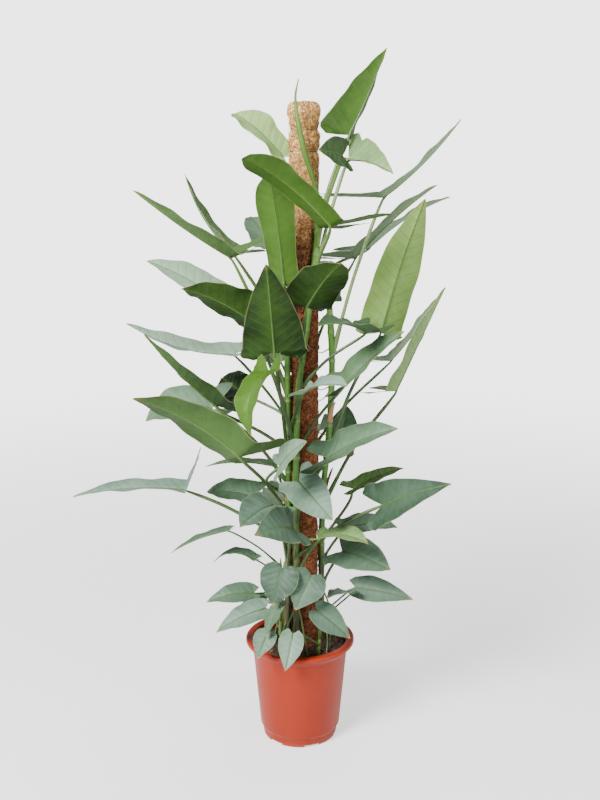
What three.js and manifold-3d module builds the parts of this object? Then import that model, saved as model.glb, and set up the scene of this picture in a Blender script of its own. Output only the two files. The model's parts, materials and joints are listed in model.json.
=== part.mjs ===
// Philodendron hastatum climbing a coir pole in a plastic nursery pot.
// Millimetres, +Z up. The origin is the centre of the pot's foot, on the ground.
import * as THREE from "three";
import { mergeVertices } from "three/addons/utils/BufferGeometryUtils.js";
import Module from "manifold-3d";

const wasm = await Module();
wasm.setup();

// Driving dimensions
const GAP = 0.3;
const POT_HEIGHT = 230;
const RIM_RADIUS = 120;
const FOOT_RADIUS = 81;
const POT_WALL = 2;
const FOOT_WIDTH = 3;
const CHANNEL_HEIGHT = 6;
const CHANNEL_SLOPE = 4;
const FLOOR_DISC_RADIUS = 34;
const NOTCHES = 6;
const NOTCH_BEARING = -71;
const NOTCH_WIDTH = 34;
const NOTCH_HEIGHT = 5;
const NOTCH_REACH = 24;
const DRAIN_HOLE_RADIUS = 5;
const DRAIN_HOLE_SIDES = 6;
const DRAIN_RING_RADIUS = 55;
const TURN_SEGMENTS = 30;

const SOIL_LEVEL = 212;
const SOIL_ROUGHNESS = 3;
const SOIL_RINGS = [58];
const SOIL_WAVE = { alongX: 0.13, shiftX: 1.7, alongY: 0.11, shiftY: -0.6, slanted: 0.21 };

const POLE_X = 8;
const POLE_RADIUS = 31;
const POLE_TOP = 1375;
const POLE_SEGMENTS = 12;
const COIR_BOTTOM = 150;
const STICK_RADIUS = 12;
const STICK_BOTTOM = POT_WALL + GAP;
const STICK_TOP = POLE_TOP - 25;
const WAISTS = [463, 706, 825, 1037, 1279, 1322];
const WAIST_DEPTH = 4.2;
const WAIST_REACH = 14;
const COIR_UNEVEN = 0.6;
const COIR_UNEVEN_RATE = 0.045;
const PLAIN_LEVELS = [340, 585, 930, 1160];
const COIR_CROWN = [[31, 1342], [32, 1358], [29, 1369], [16, POLE_TOP]];

const VINE_RADIUS = 7.3;
const VINE_SIDES = 6;
const VINE_STEP = 55;
const VINE_END = 0.6;
const SHOOT_RADIUS = 3.4;
const AERIAL_ROOT_RADII = [1.7, 0.9];
const AERIAL_ROOT_SIDES = 4;
const AERIAL_ROOT_STEPS = 3;
const AERIAL_ROOT_BEND = 0.6;
const AERIAL_ROOT_SAG = 0.12;
const HEIGHT_HALVINGS = 24;

const BLADE_THICKNESS = 0.8;
const EDGE_WAVE = 0.035;
const EDGE_WAVE_RATE = 11;
const EDGE_WAVE_SHIFT = 1.1;
const PETIOLE_SIDES = 4;
const PETIOLE_STEPS = 4;
const PETIOLE_INSET = 0.05;
const PETIOLE_RISE = 0.03;
const SHEATH_SHARE = 0.15;
const STALK_OVERLAP = 8;

// The places of the leaves are written as they stand before an eye in front of the plant:
// x and z on the upright plane through the pot's centre, then the depth behind that plane.
const EYE = { x: 0, y: -2160, z: 1270 };

function sight([x, z, depth]) {
  const reach = (depth - EYE.y) / (0 - EYE.y);
  return new THREE.Vector3(EYE.x + (x - EYE.x) * reach, depth, EYE.z + (z - EYE.z) * reach);
}

// Rows of a blade from the lobe's end to the leaf's tip. Each row runs from its inner to its outer
// point, as [along, across]: along is a share of the midrib, across a share of the half width.
const BLADE_ROWS = {
  adult: [
    [[-0.40, 0.62], [-0.41, 0.80]],
    [[-0.19, 0.26], [-0.22, 1.05]],
    [[0.00, 0.00], [0.03, 0.92]],
    [[0.18, 0.00], [0.21, 0.95]],
    [[0.40, 0.00], [0.43, 0.91]],
    [[0.62, 0.00], [0.64, 0.75]],
    [[0.83, 0.00], [0.84, 0.43]],
    [[1.00, 0.00], [1.00, 0.02]],
  ],
  blunt: [
    [[-0.40, 0.62], [-0.41, 0.80]],
    [[-0.19, 0.26], [-0.22, 1.05]],
    [[0.00, 0.00], [0.03, 0.84]],
    [[0.20, 0.00], [0.22, 0.76]],
    [[0.45, 0.00], [0.47, 0.88]],
    [[0.70, 0.00], [0.71, 1.00]],
    [[0.90, 0.00], [0.88, 0.80]],
    [[1.00, 0.00], [0.98, 0.34]],
  ],
  wedge: [
    [[-0.40, 0.62], [-0.41, 0.80]],
    [[-0.19, 0.26], [-0.22, 1.05]],
    [[0.00, 0.00], [0.03, 0.97]],
    [[0.18, 0.00], [0.20, 0.90]],
    [[0.40, 0.00], [0.42, 0.74]],
    [[0.62, 0.00], [0.63, 0.52]],
    [[0.83, 0.00], [0.84, 0.25]],
    [[1.00, 0.00], [1.00, 0.02]],
  ],
  young: [
    [[-0.10, 0.30], [-0.11, 0.52]],
    [[0.00, 0.00], [0.00, 0.84]],
    [[0.22, 0.00], [0.24, 1.00]],
    [[0.48, 0.00], [0.50, 0.86]],
    [[0.74, 0.00], [0.75, 0.48]],
    [[1.00, 0.00], [1.00, 0.03]],
  ],
};
const BLADE_KINDS = {
  adult: { rows: BLADE_ROWS.adult, columns: 2 },
  blunt: { rows: BLADE_ROWS.blunt, columns: 2 },
  wedge: { rows: BLADE_ROWS.wedge, columns: 2 },
  small: { rows: BLADE_ROWS.adult, columns: 1 },
  young: { rows: BLADE_ROWS.young, columns: 1 },
};
const PETIOLE_RADII = {
  adult: { sheath: 5.6, stalk: 4.0, joint: 1.9 },
  blunt: { sheath: 5.6, stalk: 4.0, joint: 1.9 },
  wedge: { sheath: 5.6, stalk: 4.0, joint: 1.9 },
  small: { sheath: 5.0, stalk: 3.4, joint: 1.6 },
  young: { sheath: 3.2, stalk: 2.1, joint: 1.2 },
};

// Climbing stems, as points [x, y, z] from the soil upwards
const VINES = {
  front: [[-8, -37, 120], [-8, -37, 420], [-4, -38.5, 780], [20, -38, 980], [33, -31, 1090], [38, -27, 1192]],
  left: [[-30, -24, 120], [-26, -22, 420], [-25, -23, 700], [-27, -22, 880], [-30, -16, 1010]],
  right: [[50, 12, 120], [47, 9, 380], [50, 6, 560], [62, 4, 700], [67, 2, 850], [60, 4, 985]],
  back: [[-4, 42, 120], [2, 40, 500], [14, 40, 800], [4, 40, 1000], [12, 39, 1160]],
};
// Young shoots from the foot of the plant
const SHOOTS = {
  shoot_left: [[-46, -52, 150], [-44, -54, 240], [-40, -56, 330]],
  shoot_right: [[40, -58, 150], [42, -60, 240], [46, -62, 330]],
  shoot_back: [[-30, 62, 150], [-38, 60, 260], [-44, 56, 390]],
};

// The rolled youngest leaf at the top of the front stem, as sighted points, and its radii
const SPEAR_STEM = "front";
const SPEAR_FOOT = 1150;
const SPEAR_POINTS = [
  [38, 1181, -36], [25, 1227, -48], [8, 1281, -53], [-6, 1348, -55], [-9, 1386, -52], [-3, 1417, -48],
];
const SPEAR_RADII = [4.4, 3.2, 4.2, 5.8, 6.6, 5.8, 4.2, 2.4, 1.2];
const SPEAR_STEPS = 10;

// Roots in the air, from a stem at a height to a point on or beside the pole
const AERIAL_ROOTS = [
  ["right", 880, [34, 2, 868]], ["right", 800, [36, -8, 792]], ["right", 790, [34, 12, 760]],
  ["right", 690, [34, 6, 700]], ["front", 1125, [-2, -30, 1150]], ["front", 900, [30, -24, 880]],
  ["front", 480, [16, -29, 462]], ["left", 560, [-22, -10, 520]], ["left", 545, [-20, -15, 500]],
  ["left", 850, [-22, -6, 838]], ["left", 700, [-21, -12, 680]], ["back", 1050, [30, 26, 1035]],
];

// Leaves. stem and at say where the stalk springs, joint and tip are the ends of the midrib,
// and face is where the upper side looks. Fold and lift are degrees, lobe and arch shares of the length.
const LEAVES = [
  { name: "leaf_01", stem: "front", at: 1130, joint: [97, 1310, -12], tip: [170, 1476, 20],
    face: [-7, 7, 0], width: 118, lobe: 0.18, arch: -0.02, fold: 40, lift: 0, kind: "wedge" },
  { name: "leaf_02", stem: "front", at: 1000, joint: [97, 1262, -20], tip: [187, 1235, -90],
    face: [1, -6, 8], width: 108, lobe: 0.45, arch: 0.08, fold: 30, lift: 20, kind: "wedge" },
  { name: "leaf_03", stem: "front", at: 1085, joint: [86, 1270, -95], tip: [38, 1282, -150],
    face: [3, -8, 3], width: 68, lobe: 0.4, arch: 0.06, fold: 18, lift: 0, kind: "small" },
  { name: "leaf_04", stem: "back", at: 1130, joint: [-34, 1268, 70], tip: [-130, 1352, 120],
    face: [4, -5, 7], width: 98, lobe: 0.4, arch: 0.06, fold: 16, lift: 10, kind: "blunt" },
  { name: "leaf_05", stem: "front", at: 1000, joint: [62, 1130, -130], tip: [-113, 1268, -215],
    face: [4, 6.5, 7], width: 86, lobe: 1.4, arch: 0.06, fold: 8, lift: 40, kind: "blunt" },
  { name: "leaf_06", stem: "left", at: 930, joint: [-33, 1012, -90], tip: [-62, 1232, -140],
    face: [1, 9, 1], width: 78, lobe: 0.35, arch: 0.07, fold: 15, lift: 10, kind: "blunt" },
  { name: "leaf_07", stem: "left", at: 780, joint: [-140, 1066, -38], tip: [-336, 1202, -110],
    face: [4.8, 2, 7.8], width: 90, lobe: 1.0, arch: -0.02, fold: 20, lift: 55, kind: "adult" },
  { name: "leaf_08", stem: "back", at: 790, joint: [-134, 1074, 52], tip: [-231, 1235, 80],
    face: [9, -1, 5], width: 100, lobe: 0.8, arch: -0.08, fold: 15, lift: 60, kind: "wedge" },
  { name: "leaf_09", stem: "back", at: 720, joint: [-160, 975, 100], tip: [-314, 1061, 150],
    face: [3, -5, 8], width: 95, lobe: 0.8, arch: 0.05, fold: 15, lift: 20, kind: "small" },
  { name: "leaf_10", stem: "left", at: 720, joint: [-100, 935, -75], tip: [-245, 1004, -150],
    face: [3, 7, 6], width: 124, lobe: 0.5, arch: 0.06, fold: 15, lift: 20, kind: "adult" },
  { name: "leaf_11", stem: "left", at: 625, joint: [-54, 870, -110], tip: [-69, 1053, -215],
    face: [0, 9, 2], width: 134, lobe: 0.3, arch: 0.03, fold: 12, lift: 0, kind: "wedge" },
  { name: "leaf_12", stem: "front", at: 740, joint: [14, 965, -100], tip: [84, 1056, -240],
    face: [0, 6, 7], width: 115, lobe: 0.45, arch: 0.05, fold: 12, lift: 10, kind: "adult" },
  { name: "leaf_13", stem: "right", at: 650, joint: [168, 912, 20], tip: [253, 1185, -10],
    face: [-3, 8, 0], width: 108, lobe: 0.1, arch: 0.03, fold: 6, lift: 0, kind: "adult" },
  { name: "leaf_14", stem: "right", at: 860, joint: [168, 1188, 30], tip: [320, 1341, 45],
    face: [-7, 1, 7], width: 86, lobe: 1.3, arch: -0.04, fold: 12, lift: 45, kind: "adult" },
  { name: "leaf_15", stem: "back", at: 820, joint: [112, 1065, 68], tip: [276, 1213, 105],
    face: [-6, 2, 8], width: 95, lobe: 0.9, arch: 0.03, fold: 15, lift: 40, kind: "small" },
  { name: "leaf_16", stem: "back", at: 1000, joint: [140, 1085, 178], tip: [303, 1189, 265],
    face: [-4, 1, 8], width: 90, lobe: 0.9, arch: 0.05, fold: 15, lift: 20, kind: "small" },
  { name: "leaf_17", stem: "front", at: 800, joint: [138, 912, -60], tip: [38, 926, -200],
    face: [0, -2, 9], width: 85, lobe: 0.7, arch: 0.06, fold: 15, lift: 20, kind: "small" },
  { name: "leaf_18", stem: "right", at: 530, joint: [202, 787, 0], tip: [299, 1006, -20],
    face: [-8, 3.4, 3], width: 100, lobe: 0.6, arch: 0.0, fold: 12, lift: 60, kind: "adult" },
  { name: "leaf_19", stem: "back", at: 620, joint: [190, 852, 90], tip: [282, 985, 130],
    face: [-8, 2, 6], width: 90, lobe: 0.9, arch: -0.03, fold: 15, lift: 50, kind: "small" },
  { name: "leaf_20", stem: "front", at: 660, joint: [97, 803, -70], tip: [217, 914, -100],
    face: [-6, -3, 7], width: 85, lobe: 0.6, arch: 0.03, fold: 18, lift: 20, kind: "small" },
  { name: "leaf_21", stem: "left", at: 690, joint: [6, 781, -96], tip: [100, 798, -200],
    face: [0, -3, 8], width: 75, lobe: 0.2, arch: 0.08, fold: 15, lift: 10, kind: "small" },
  { name: "leaf_22", stem: "back", at: 520, joint: [82, 668, 70], tip: [100, 755, 120],
    face: [2, -8, 4], width: 72, lobe: 0.6, arch: 0.05, fold: 12, lift: 10, kind: "small" },
  { name: "leaf_23", stem: "front", at: 540, joint: [60, 640, -80], tip: [207, 705, -150],
    face: [-1, -4, 8], width: 98, lobe: 0.7, arch: 0.06, fold: 15, lift: 10, kind: "adult" },
  { name: "leaf_24", stem: "back", at: 650, joint: [-140, 866, 25], tip: [-360, 931, 40],
    face: [2, -1.2, 8.5], width: 96, lobe: 0.7, arch: -0.08, fold: 15, lift: 25, kind: "small" },
  { name: "leaf_25", stem: "left", at: 590, joint: [-180, 757, -40], tip: [-324, 908, -110],
    face: [5, 5, 6], width: 95, lobe: 0.6, arch: -0.03, fold: 18, lift: 10, kind: "wedge" },
  { name: "leaf_26", stem: "back", at: 620, joint: [-187, 748, 78], tip: [-328, 722, 95],
    face: [0, -6, 8], width: 105, lobe: 0.9, arch: 0.24, fold: 10, lift: 20, kind: "adult" },
  { name: "leaf_27", stem: "left", at: 520, joint: [-130, 642, -95], tip: [-352, 771, -160],
    face: [2, 7, 6], width: 132, lobe: 0.8, arch: 0.07, fold: 12, lift: 30, kind: "adult" },
  { name: "leaf_28", stem: "back", at: 690, joint: [-118, 780, 110], tip: [-165, 816, 185],
    face: [0, -8, 4], width: 86, lobe: 0.8, arch: 0.04, fold: 12, lift: 20, kind: "small" },
  { name: "leaf_29", stem: "front", at: 660, joint: [-66, 830, -160], tip: [-104, 688, -220],
    face: [-6, -4, 5], width: 80, lobe: 0.6, arch: 0.22, fold: 10, lift: 0, kind: "adult" },
  { name: "leaf_30", stem: "left", at: 540, joint: [-55, 622, 25], tip: [-202, 622, 45],
    face: [0, 1, 9], width: 60, lobe: 0.2, arch: 0.06, fold: 12, lift: 10, kind: "small" },
  { name: "leaf_31", stem: "left", at: 460, joint: [-245, 568, 0], tip: [-490, 553, -10],
    face: [0, 0, 9], width: 92, lobe: 0.8, arch: 0.05, fold: 12, lift: 65, kind: "adult" },
  { name: "leaf_32", stem: "back", at: 470, joint: [-100, 556, 60], tip: [-202, 565, 100],
    face: [0, -4, 8], width: 78, lobe: 0.5, arch: 0.08, fold: 12, lift: 10, kind: "small" },
  { name: "leaf_33", stem: "left", at: 415, joint: [-60, 534, -58], tip: [-130, 484, -180],
    face: [-1, -7, 6], width: 92, lobe: 0.3, arch: 0.08, fold: 10, lift: 0, kind: "small" },
  { name: "leaf_34", stem: "left", at: 380, joint: [-18, 482, -120], tip: [-98, 466, -235],
    face: [0, -8, 5], width: 92, lobe: 0.5, arch: 0.12, fold: 10, lift: 0, kind: "small" },
  { name: "leaf_35", stem: "front", at: 500, joint: [-2, 586, -72], tip: [70, 500, -160],
    face: [-1, -8, 4], width: 85, lobe: 0.5, arch: 0.08, fold: 10, lift: 0, kind: "small" },
  { name: "leaf_36", stem: "right", at: 450, joint: [115, 572, 22], tip: [222, 618, 35],
    face: [-2, -3, 8], width: 50, lobe: 0.5, arch: 0.04, fold: 15, lift: 10, kind: "small" },
  { name: "leaf_37", stem: "front", at: 430, joint: [178, 534, -88], tip: [325, 582, -185],
    face: [-2, -8, 5], width: 98, lobe: 0.55, arch: 0.08, fold: 12, lift: 0, kind: "wedge" },
  { name: "leaf_38", stem: "right", at: 400, joint: [96, 478, 40], tip: [212, 483, 50],
    face: [0, -4, 8], width: 62, lobe: 0.4, arch: 0.14, fold: 12, lift: 0, kind: "small" },
  { name: "leaf_39", stem: "front", at: 380, joint: [40, 456, -76], tip: [148, 446, -190],
    face: [1, -3, 8], width: 78, lobe: 0.5, arch: 0.1, fold: 12, lift: 0, kind: "small" },
  { name: "leaf_40", stem: "right", at: 340, joint: [92, 428, -25], tip: [198, 385, -110],
    face: [1, -7, 6], width: 90, lobe: 0.5, arch: 0.08, fold: 10, lift: 0, kind: "small" },
  { name: "leaf_41", stem: "back", at: 960, joint: [-60, 1085, 150], tip: [-99, 1150, 280],
    face: [1, -3, 8], width: 95, lobe: 0.8, arch: 0.05, fold: 15, lift: 20, kind: "small" },
  { name: "leaf_42", stem: "back", at: 850, joint: [40, 980, 160], tip: [60, 1060, 330],
    face: [0, -4, 8], width: 105, lobe: 0.9, arch: 0.05, fold: 15, lift: 20, kind: "small" },
  { name: "leaf_43", stem: "back", at: 700, joint: [-40, 850, 180], tip: [-90, 900, 350],
    face: [0, -4, 8], width: 105, lobe: 0.9, arch: 0.05, fold: 15, lift: 20, kind: "small" },
  { name: "leaf_44", stem: "back", at: 560, joint: [40, 700, 180], tip: [90, 690, 360],
    face: [0, 2, 9], width: 100, lobe: 0.9, arch: 0.08, fold: 12, lift: 20, kind: "small" },
  { name: "leaf_45", stem: "back", at: 420, joint: [-30, 560, 150], tip: [-60, 520, 300],
    face: [0, 3, 9], width: 95, lobe: 0.7, arch: 0.1, fold: 12, lift: 10, kind: "small" },
  { name: "leaf_46", stem: "left", at: 565, joint: [-44, 622, -150], tip: [14, 677, -215],
    face: [-2, -6, 6], width: 60, lobe: 0.4, arch: 0.06, fold: 10, lift: 0, kind: "small" },
  { name: "young_01", stem: "shoot_left", at: 320, joint: [-38, 388, -95], tip: [-60, 300, -120],
    face: [-2, -8, 4], width: 86, lobe: 1.0, arch: 0.06, fold: 8, lift: 0, kind: "young" },
  { name: "young_02", stem: "shoot_right", at: 310, joint: [24, 372, -95], tip: [-10, 290, -125],
    face: [0, -8, 4], width: 82, lobe: 1.0, arch: 0.06, fold: 8, lift: 0, kind: "young" },
  { name: "young_03", stem: "shoot_right", at: 250, joint: [36, 290, -95], tip: [112, 222, -105],
    face: [1, -7, 6], width: 60, lobe: 1.0, arch: 0.05, fold: 8, lift: 0, kind: "young" },
  { name: "young_04", stem: "shoot_right", at: 235, joint: [-16, 232, -110], tip: [-33, 142, -150],
    face: [0, -8, 3], width: 54, lobe: 1.0, arch: 0.08, fold: 8, lift: 0, kind: "young" },
  { name: "young_05", stem: "shoot_left", at: 250, joint: [-72, 235, -110], tip: [-95, 172, -150],
    face: [-2, -8, 3], width: 50, lobe: 1.0, arch: 0.08, fold: 8, lift: 0, kind: "young" },
  { name: "young_06", stem: "shoot_left", at: 290, joint: [-42, 305, -90], tip: [-76, 225, -135],
    face: [-7, -5, 4], width: 46, lobe: 1.0, arch: 0.06, fold: 8, lift: 0, kind: "young" },
  { name: "young_07", stem: "shoot_left", at: 270, joint: [-76, 294, -40], tip: [-187, 236, -60],
    face: [-2, -5, 7], width: 60, lobe: 1.0, arch: 0.1, fold: 8, lift: 0, kind: "young" },
  { name: "young_08", stem: "shoot_back", at: 300, joint: [-102, 330, 20], tip: [-207, 309, 10],
    face: [0, -5, 8], width: 56, lobe: 1.0, arch: 0.12, fold: 8, lift: 0, kind: "young" },
  { name: "young_09", stem: "shoot_back", at: 270, joint: [-80, 310, 60], tip: [-132, 303, 90],
    face: [0, -4, 8], width: 44, lobe: 1.0, arch: 0.06, fold: 8, lift: 0, kind: "young" },
  { name: "young_10", stem: "shoot_back", at: 370, joint: [-157, 476, 20], tip: [-282, 425, 10],
    face: [-2, 1, 9], width: 54, lobe: 1.0, arch: 0.05, fold: 12, lift: 0, kind: "young" },
  { name: "young_11", stem: "shoot_back", at: 340, joint: [-97, 410, 60], tip: [-189, 404, 80],
    face: [0, 0, 9], width: 46, lobe: 1.0, arch: 0.2, fold: 12, lift: 0, kind: "young" },
  { name: "young_12", stem: "shoot_right", at: 280, joint: [112, 330, -50], tip: [60, 318, -120],
    face: [0, 2, 9], width: 60, lobe: 1.0, arch: 0.06, fold: 10, lift: 0, kind: "young" },
  { name: "young_13", stem: "shoot_right", at: 300, joint: [122, 344, -30], tip: [250, 315, -60],
    face: [0, -6, 6], width: 60, lobe: 1.0, arch: 0.06, fold: 8, lift: 0, kind: "young" },
];

// Stalks that bend on their way to the joint, and the sighted point of the bend
const PETIOLE_BENDS = {
  leaf_31: [-165, 533, -10],
  leaf_36: [108, 545, 15],
  leaf_37: [112, 502, -70],
  leaf_46: [-72, 588, -92],
};

// Solids from three.js geometries

function signedVolume(geometry) {
  const place = geometry.attributes.position;
  const index = geometry.index;
  const a = new THREE.Vector3();
  const b = new THREE.Vector3();
  const c = new THREE.Vector3();
  let volume = 0;
  for (let corner = 0; corner < index.count; corner += 3) {
    a.fromBufferAttribute(place, index.getX(corner));
    b.fromBufferAttribute(place, index.getX(corner + 1));
    c.fromBufferAttribute(place, index.getX(corner + 2));
    volume += a.dot(b.cross(c)) / 6;
  }
  return volume;
}

function toSolid(geometry) {
  const bare = geometry.clone();
  bare.deleteAttribute("normal");
  bare.deleteAttribute("uv");
  const merged = mergeVertices(bare, 1e-4);
  const inward = signedVolume(merged) < 0;
  const triangles = [];
  for (let corner = 0; corner < merged.index.count; corner += 3) {
    const face = [0, 1, 2].map((step) => merged.index.getX(corner + step));
    if (new Set(face).size === 3) {
      triangles.push(...(inward ? face.reverse() : face));
    }
  }
  return new wasm.Manifold(new wasm.Mesh({
    numProp: 3,
    vertProperties: Float32Array.from(merged.attributes.position.array),
    triVerts: Uint32Array.from(triangles),
  }));
}

function toGeometry(solid) {
  const mesh = solid.getMesh();
  const geometry = new THREE.BufferGeometry();
  geometry.setAttribute("position", new THREE.BufferAttribute(Float32Array.from(mesh.vertProperties), 3));
  geometry.setIndex(Array.from(mesh.triVerts));
  geometry.computeVertexNormals();
  return geometry;
}

function largestPiece(solid) {
  const pieces = solid.decompose();
  return pieces.reduce((best, piece) => (piece.volume() > best.volume() ? piece : best));
}

function indexedGeometry(places, triangles) {
  const geometry = new THREE.BufferGeometry();
  geometry.setAttribute("position", new THREE.Float32BufferAttribute(places.flatMap((p) => p.toArray()), 3));
  geometry.setIndex(triangles);
  return geometry;
}

// A turned body, from an outline of [radius, height] points that starts and ends on the axis
function turned(outline, segments) {
  const points = outline.map(([radius, height]) => new THREE.Vector2(radius, height));
  const geometry = new THREE.LatheGeometry(points, segments);
  geometry.rotateX(Math.PI / 2);
  return geometry;
}

// A closed tube along a curve, whose radius follows its share of the length
function tube(points, steps, sides, radiusAt) {
  const curve = new THREE.CatmullRomCurve3(points, false, "centripetal");
  const frames = curve.computeFrenetFrames(steps, false);
  const places = [];
  const triangles = [];
  for (let step = 0; step <= steps; step += 1) {
    const share = step / steps;
    const centre = curve.getPointAt(share);
    for (let side = 0; side < sides; side += 1) {
      const angle = (side / sides) * Math.PI * 2;
      places.push(centre.clone()
        .addScaledVector(frames.normals[step], Math.cos(angle) * radiusAt(share))
        .addScaledVector(frames.binormals[step], Math.sin(angle) * radiusAt(share)));
    }
  }
  for (let step = 0; step < steps; step += 1) {
    for (let side = 0; side < sides; side += 1) {
      const next = (side + 1) % sides;
      const low = step * sides;
      const high = low + sides;
      triangles.push(low + side, low + next, high + next, low + side, high + next, high + side);
    }
  }
  for (let side = 1; side < sides - 1; side += 1) {
    const last = steps * sides;
    triangles.push(0, side + 1, side, last, last + side, last + side + 1);
  }
  return indexedGeometry(places, triangles);
}

// Pot

// The underside is a flat disc on the ground, a raised drainage channel round it, and the foot
const POT_UNDERSIDE = [
  [0, 0], [FLOOR_DISC_RADIUS, 0], [FLOOR_DISC_RADIUS + CHANNEL_SLOPE, CHANNEL_HEIGHT],
  [FOOT_RADIUS - FOOT_WIDTH, CHANNEL_HEIGHT], [FOOT_RADIUS - FOOT_WIDTH, 0],
];
const POT_OUTSIDE = [
  [FOOT_RADIUS, 0], [83.8, 20], [88.5, 26], [104.5, 206],
  [109, 214.5], [RIM_RADIUS, 220], [RIM_RADIUS, 227], [117, POT_HEIGHT],
];
const POT_INSIDE = [
  [104, POT_HEIGHT - 1], [102.3, 206], [86.3, 30], [82.4, 22.5], [80.2, CHANNEL_HEIGHT + POT_WALL],
];
const POT_FLOOR = [
  [FLOOR_DISC_RADIUS + CHANNEL_SLOPE + 0.5, CHANNEL_HEIGHT + POT_WALL], [FLOOR_DISC_RADIUS + 0.5, POT_WALL],
  [0, POT_WALL],
];

function notchCutter() {
  const cutter = new THREE.BoxGeometry(NOTCH_REACH, NOTCH_WIDTH, 2 * NOTCH_HEIGHT);
  cutter.translate(FOOT_RADIUS, 0, 0);
  return cutter;
}

function drainCutter() {
  const cutter = new THREE.CylinderGeometry(
    DRAIN_HOLE_RADIUS, DRAIN_HOLE_RADIUS, 4 * POT_WALL, DRAIN_HOLE_SIDES,
  );
  cutter.rotateX(Math.PI / 2);
  cutter.translate(DRAIN_RING_RADIUS, 0, CHANNEL_HEIGHT + POT_WALL / 2);
  return cutter;
}

function pot() {
  const outline = [...POT_UNDERSIDE, ...POT_OUTSIDE, ...POT_INSIDE, ...POT_FLOOR];
  let solid = toSolid(turned(outline, TURN_SEGMENTS));
  for (let notch = 0; notch < NOTCHES; notch += 1) {
    const angle = THREE.MathUtils.degToRad(NOTCH_BEARING + (notch * 360) / NOTCHES);
    for (const cutter of [notchCutter(), drainCutter()]) {
      cutter.rotateZ(angle);
      solid = solid.subtract(toSolid(cutter));
    }
  }
  return solid;
}

// Soil

// The soil fills the pot up to its level, a gap clear of the floor and the wall
function soil(cutters) {
  const floor = [...POT_FLOOR].reverse().map(([radius, height]) => [Math.max(radius - GAP, 0), height + GAP]);
  const wall = POT_INSIDE.slice(1).map(([radius, height]) => [radius - GAP, height]).reverse();
  wall[0][1] += GAP;
  const crown = SOIL_RINGS.map((radius) => [radius, SOIL_LEVEL]);
  const outline = [...floor, ...wall, ...crown, [0, SOIL_LEVEL]];
  const geometry = turned(outline, TURN_SEGMENTS);
  const place = geometry.attributes.position;
  for (let vertex = 0; vertex < place.count; vertex += 1) {
    const x = place.getX(vertex);
    const y = place.getY(vertex);
    if (place.getZ(vertex) > SOIL_LEVEL - 1) {
      const { alongX, shiftX, alongY, shiftY, slanted } = SOIL_WAVE;
      const crossed = Math.sin(x * alongX + shiftX) * Math.cos(y * alongY + shiftY);
      const ripple = crossed + 0.5 * Math.sin((x + y) * slanted);
      place.setZ(vertex, SOIL_LEVEL + SOIL_ROUGHNESS * ripple);
    }
  }
  return cutters.reduce((solid, cutter) => solid.subtract(cutter), toSolid(geometry));
}

// Pole

function stick(grow) {
  const geometry = new THREE.CylinderGeometry(
    STICK_RADIUS + grow, STICK_RADIUS + grow, STICK_TOP - STICK_BOTTOM + 2 * grow, POLE_SEGMENTS,
  );
  geometry.rotateX(Math.PI / 2);
  geometry.translate(POLE_X, 0, (STICK_TOP + STICK_BOTTOM) / 2);
  return toSolid(geometry);
}

// The wrapping is a little uneven, and string draws it in at each waist
function coirRadius(height) {
  const uneven = (Math.sin(height * COIR_UNEVEN_RATE) - 1) * COIR_UNEVEN;
  return POLE_RADIUS + uneven - (WAISTS.includes(height) ? WAIST_DEPTH : 0);
}

function coirOutline(grow) {
  const drawnIn = WAISTS.flatMap((waist) => [waist - WAIST_REACH, waist, waist + WAIST_REACH]);
  const heights = [...PLAIN_LEVELS, ...drawnIn].sort((low, high) => low - high);
  return [
    [coirRadius(COIR_BOTTOM) + grow, COIR_BOTTOM - grow],
    ...heights.map((height) => [coirRadius(height) + grow, height]),
    ...COIR_CROWN.map(([radius, height]) => [radius + grow, height + grow]),
  ];
}

function coir(grow) {
  const outline = [[0, COIR_BOTTOM - grow], ...coirOutline(grow), [0, POLE_TOP + grow]];
  const geometry = turned(outline, POLE_SEGMENTS);
  geometry.translate(POLE_X, 0, 0);
  return toSolid(geometry);
}

// Climbing stems and shoots

function stemSpan(points) {
  return points[points.length - 1][2] - points[0][2];
}

function stemPlaces(points) {
  return points.map((point) => new THREE.Vector3(...point));
}

function stemTube(points, radius, grow) {
  const steps = Math.round(stemSpan(points) / VINE_STEP) + 2;
  const radiusAt = (share) => radius * (share < 1 ? 1 : VINE_END) + grow;
  return toSolid(tube(stemPlaces(points), steps, VINE_SIDES, radiusAt));
}

function stemPoint(points, height) {
  const curve = new THREE.CatmullRomCurve3(stemPlaces(points), false, "centripetal");
  let low = 0;
  let high = 1;
  for (let halving = 0; halving < HEIGHT_HALVINGS; halving += 1) {
    const middle = (low + high) / 2;
    if (curve.getPointAt(middle).z < height) {
      low = middle;
    } else {
      high = middle;
    }
  }
  return curve.getPointAt(low);
}

function aerialRoots(name, points) {
  return AERIAL_ROOTS.filter(([stem]) => stem === name).map(([, height, end]) => {
    const start = stemPoint(points, height);
    const tip = new THREE.Vector3(...end);
    const middle = start.clone().lerp(tip, AERIAL_ROOT_BEND);
    middle.z -= start.distanceTo(tip) * AERIAL_ROOT_SAG;
    const radiusAt = (share) => THREE.MathUtils.lerp(...AERIAL_ROOT_RADII, share);
    return toSolid(tube([start, middle, tip], AERIAL_ROOT_STEPS, AERIAL_ROOT_SIDES, radiusAt));
  });
}

function spear() {
  const points = [stemPoint(VINES[SPEAR_STEM], SPEAR_FOOT), ...SPEAR_POINTS.map(sight)];
  const last = SPEAR_RADII.length - 1;
  const radiusAt = (share) => {
    const place = Math.min(Math.floor(share * last), last - 1);
    return THREE.MathUtils.lerp(SPEAR_RADII[place], SPEAR_RADII[place + 1], share * last - place);
  };
  return toSolid(tube(points, SPEAR_STEPS, VINE_SIDES, radiusAt));
}

// Leaves

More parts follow.
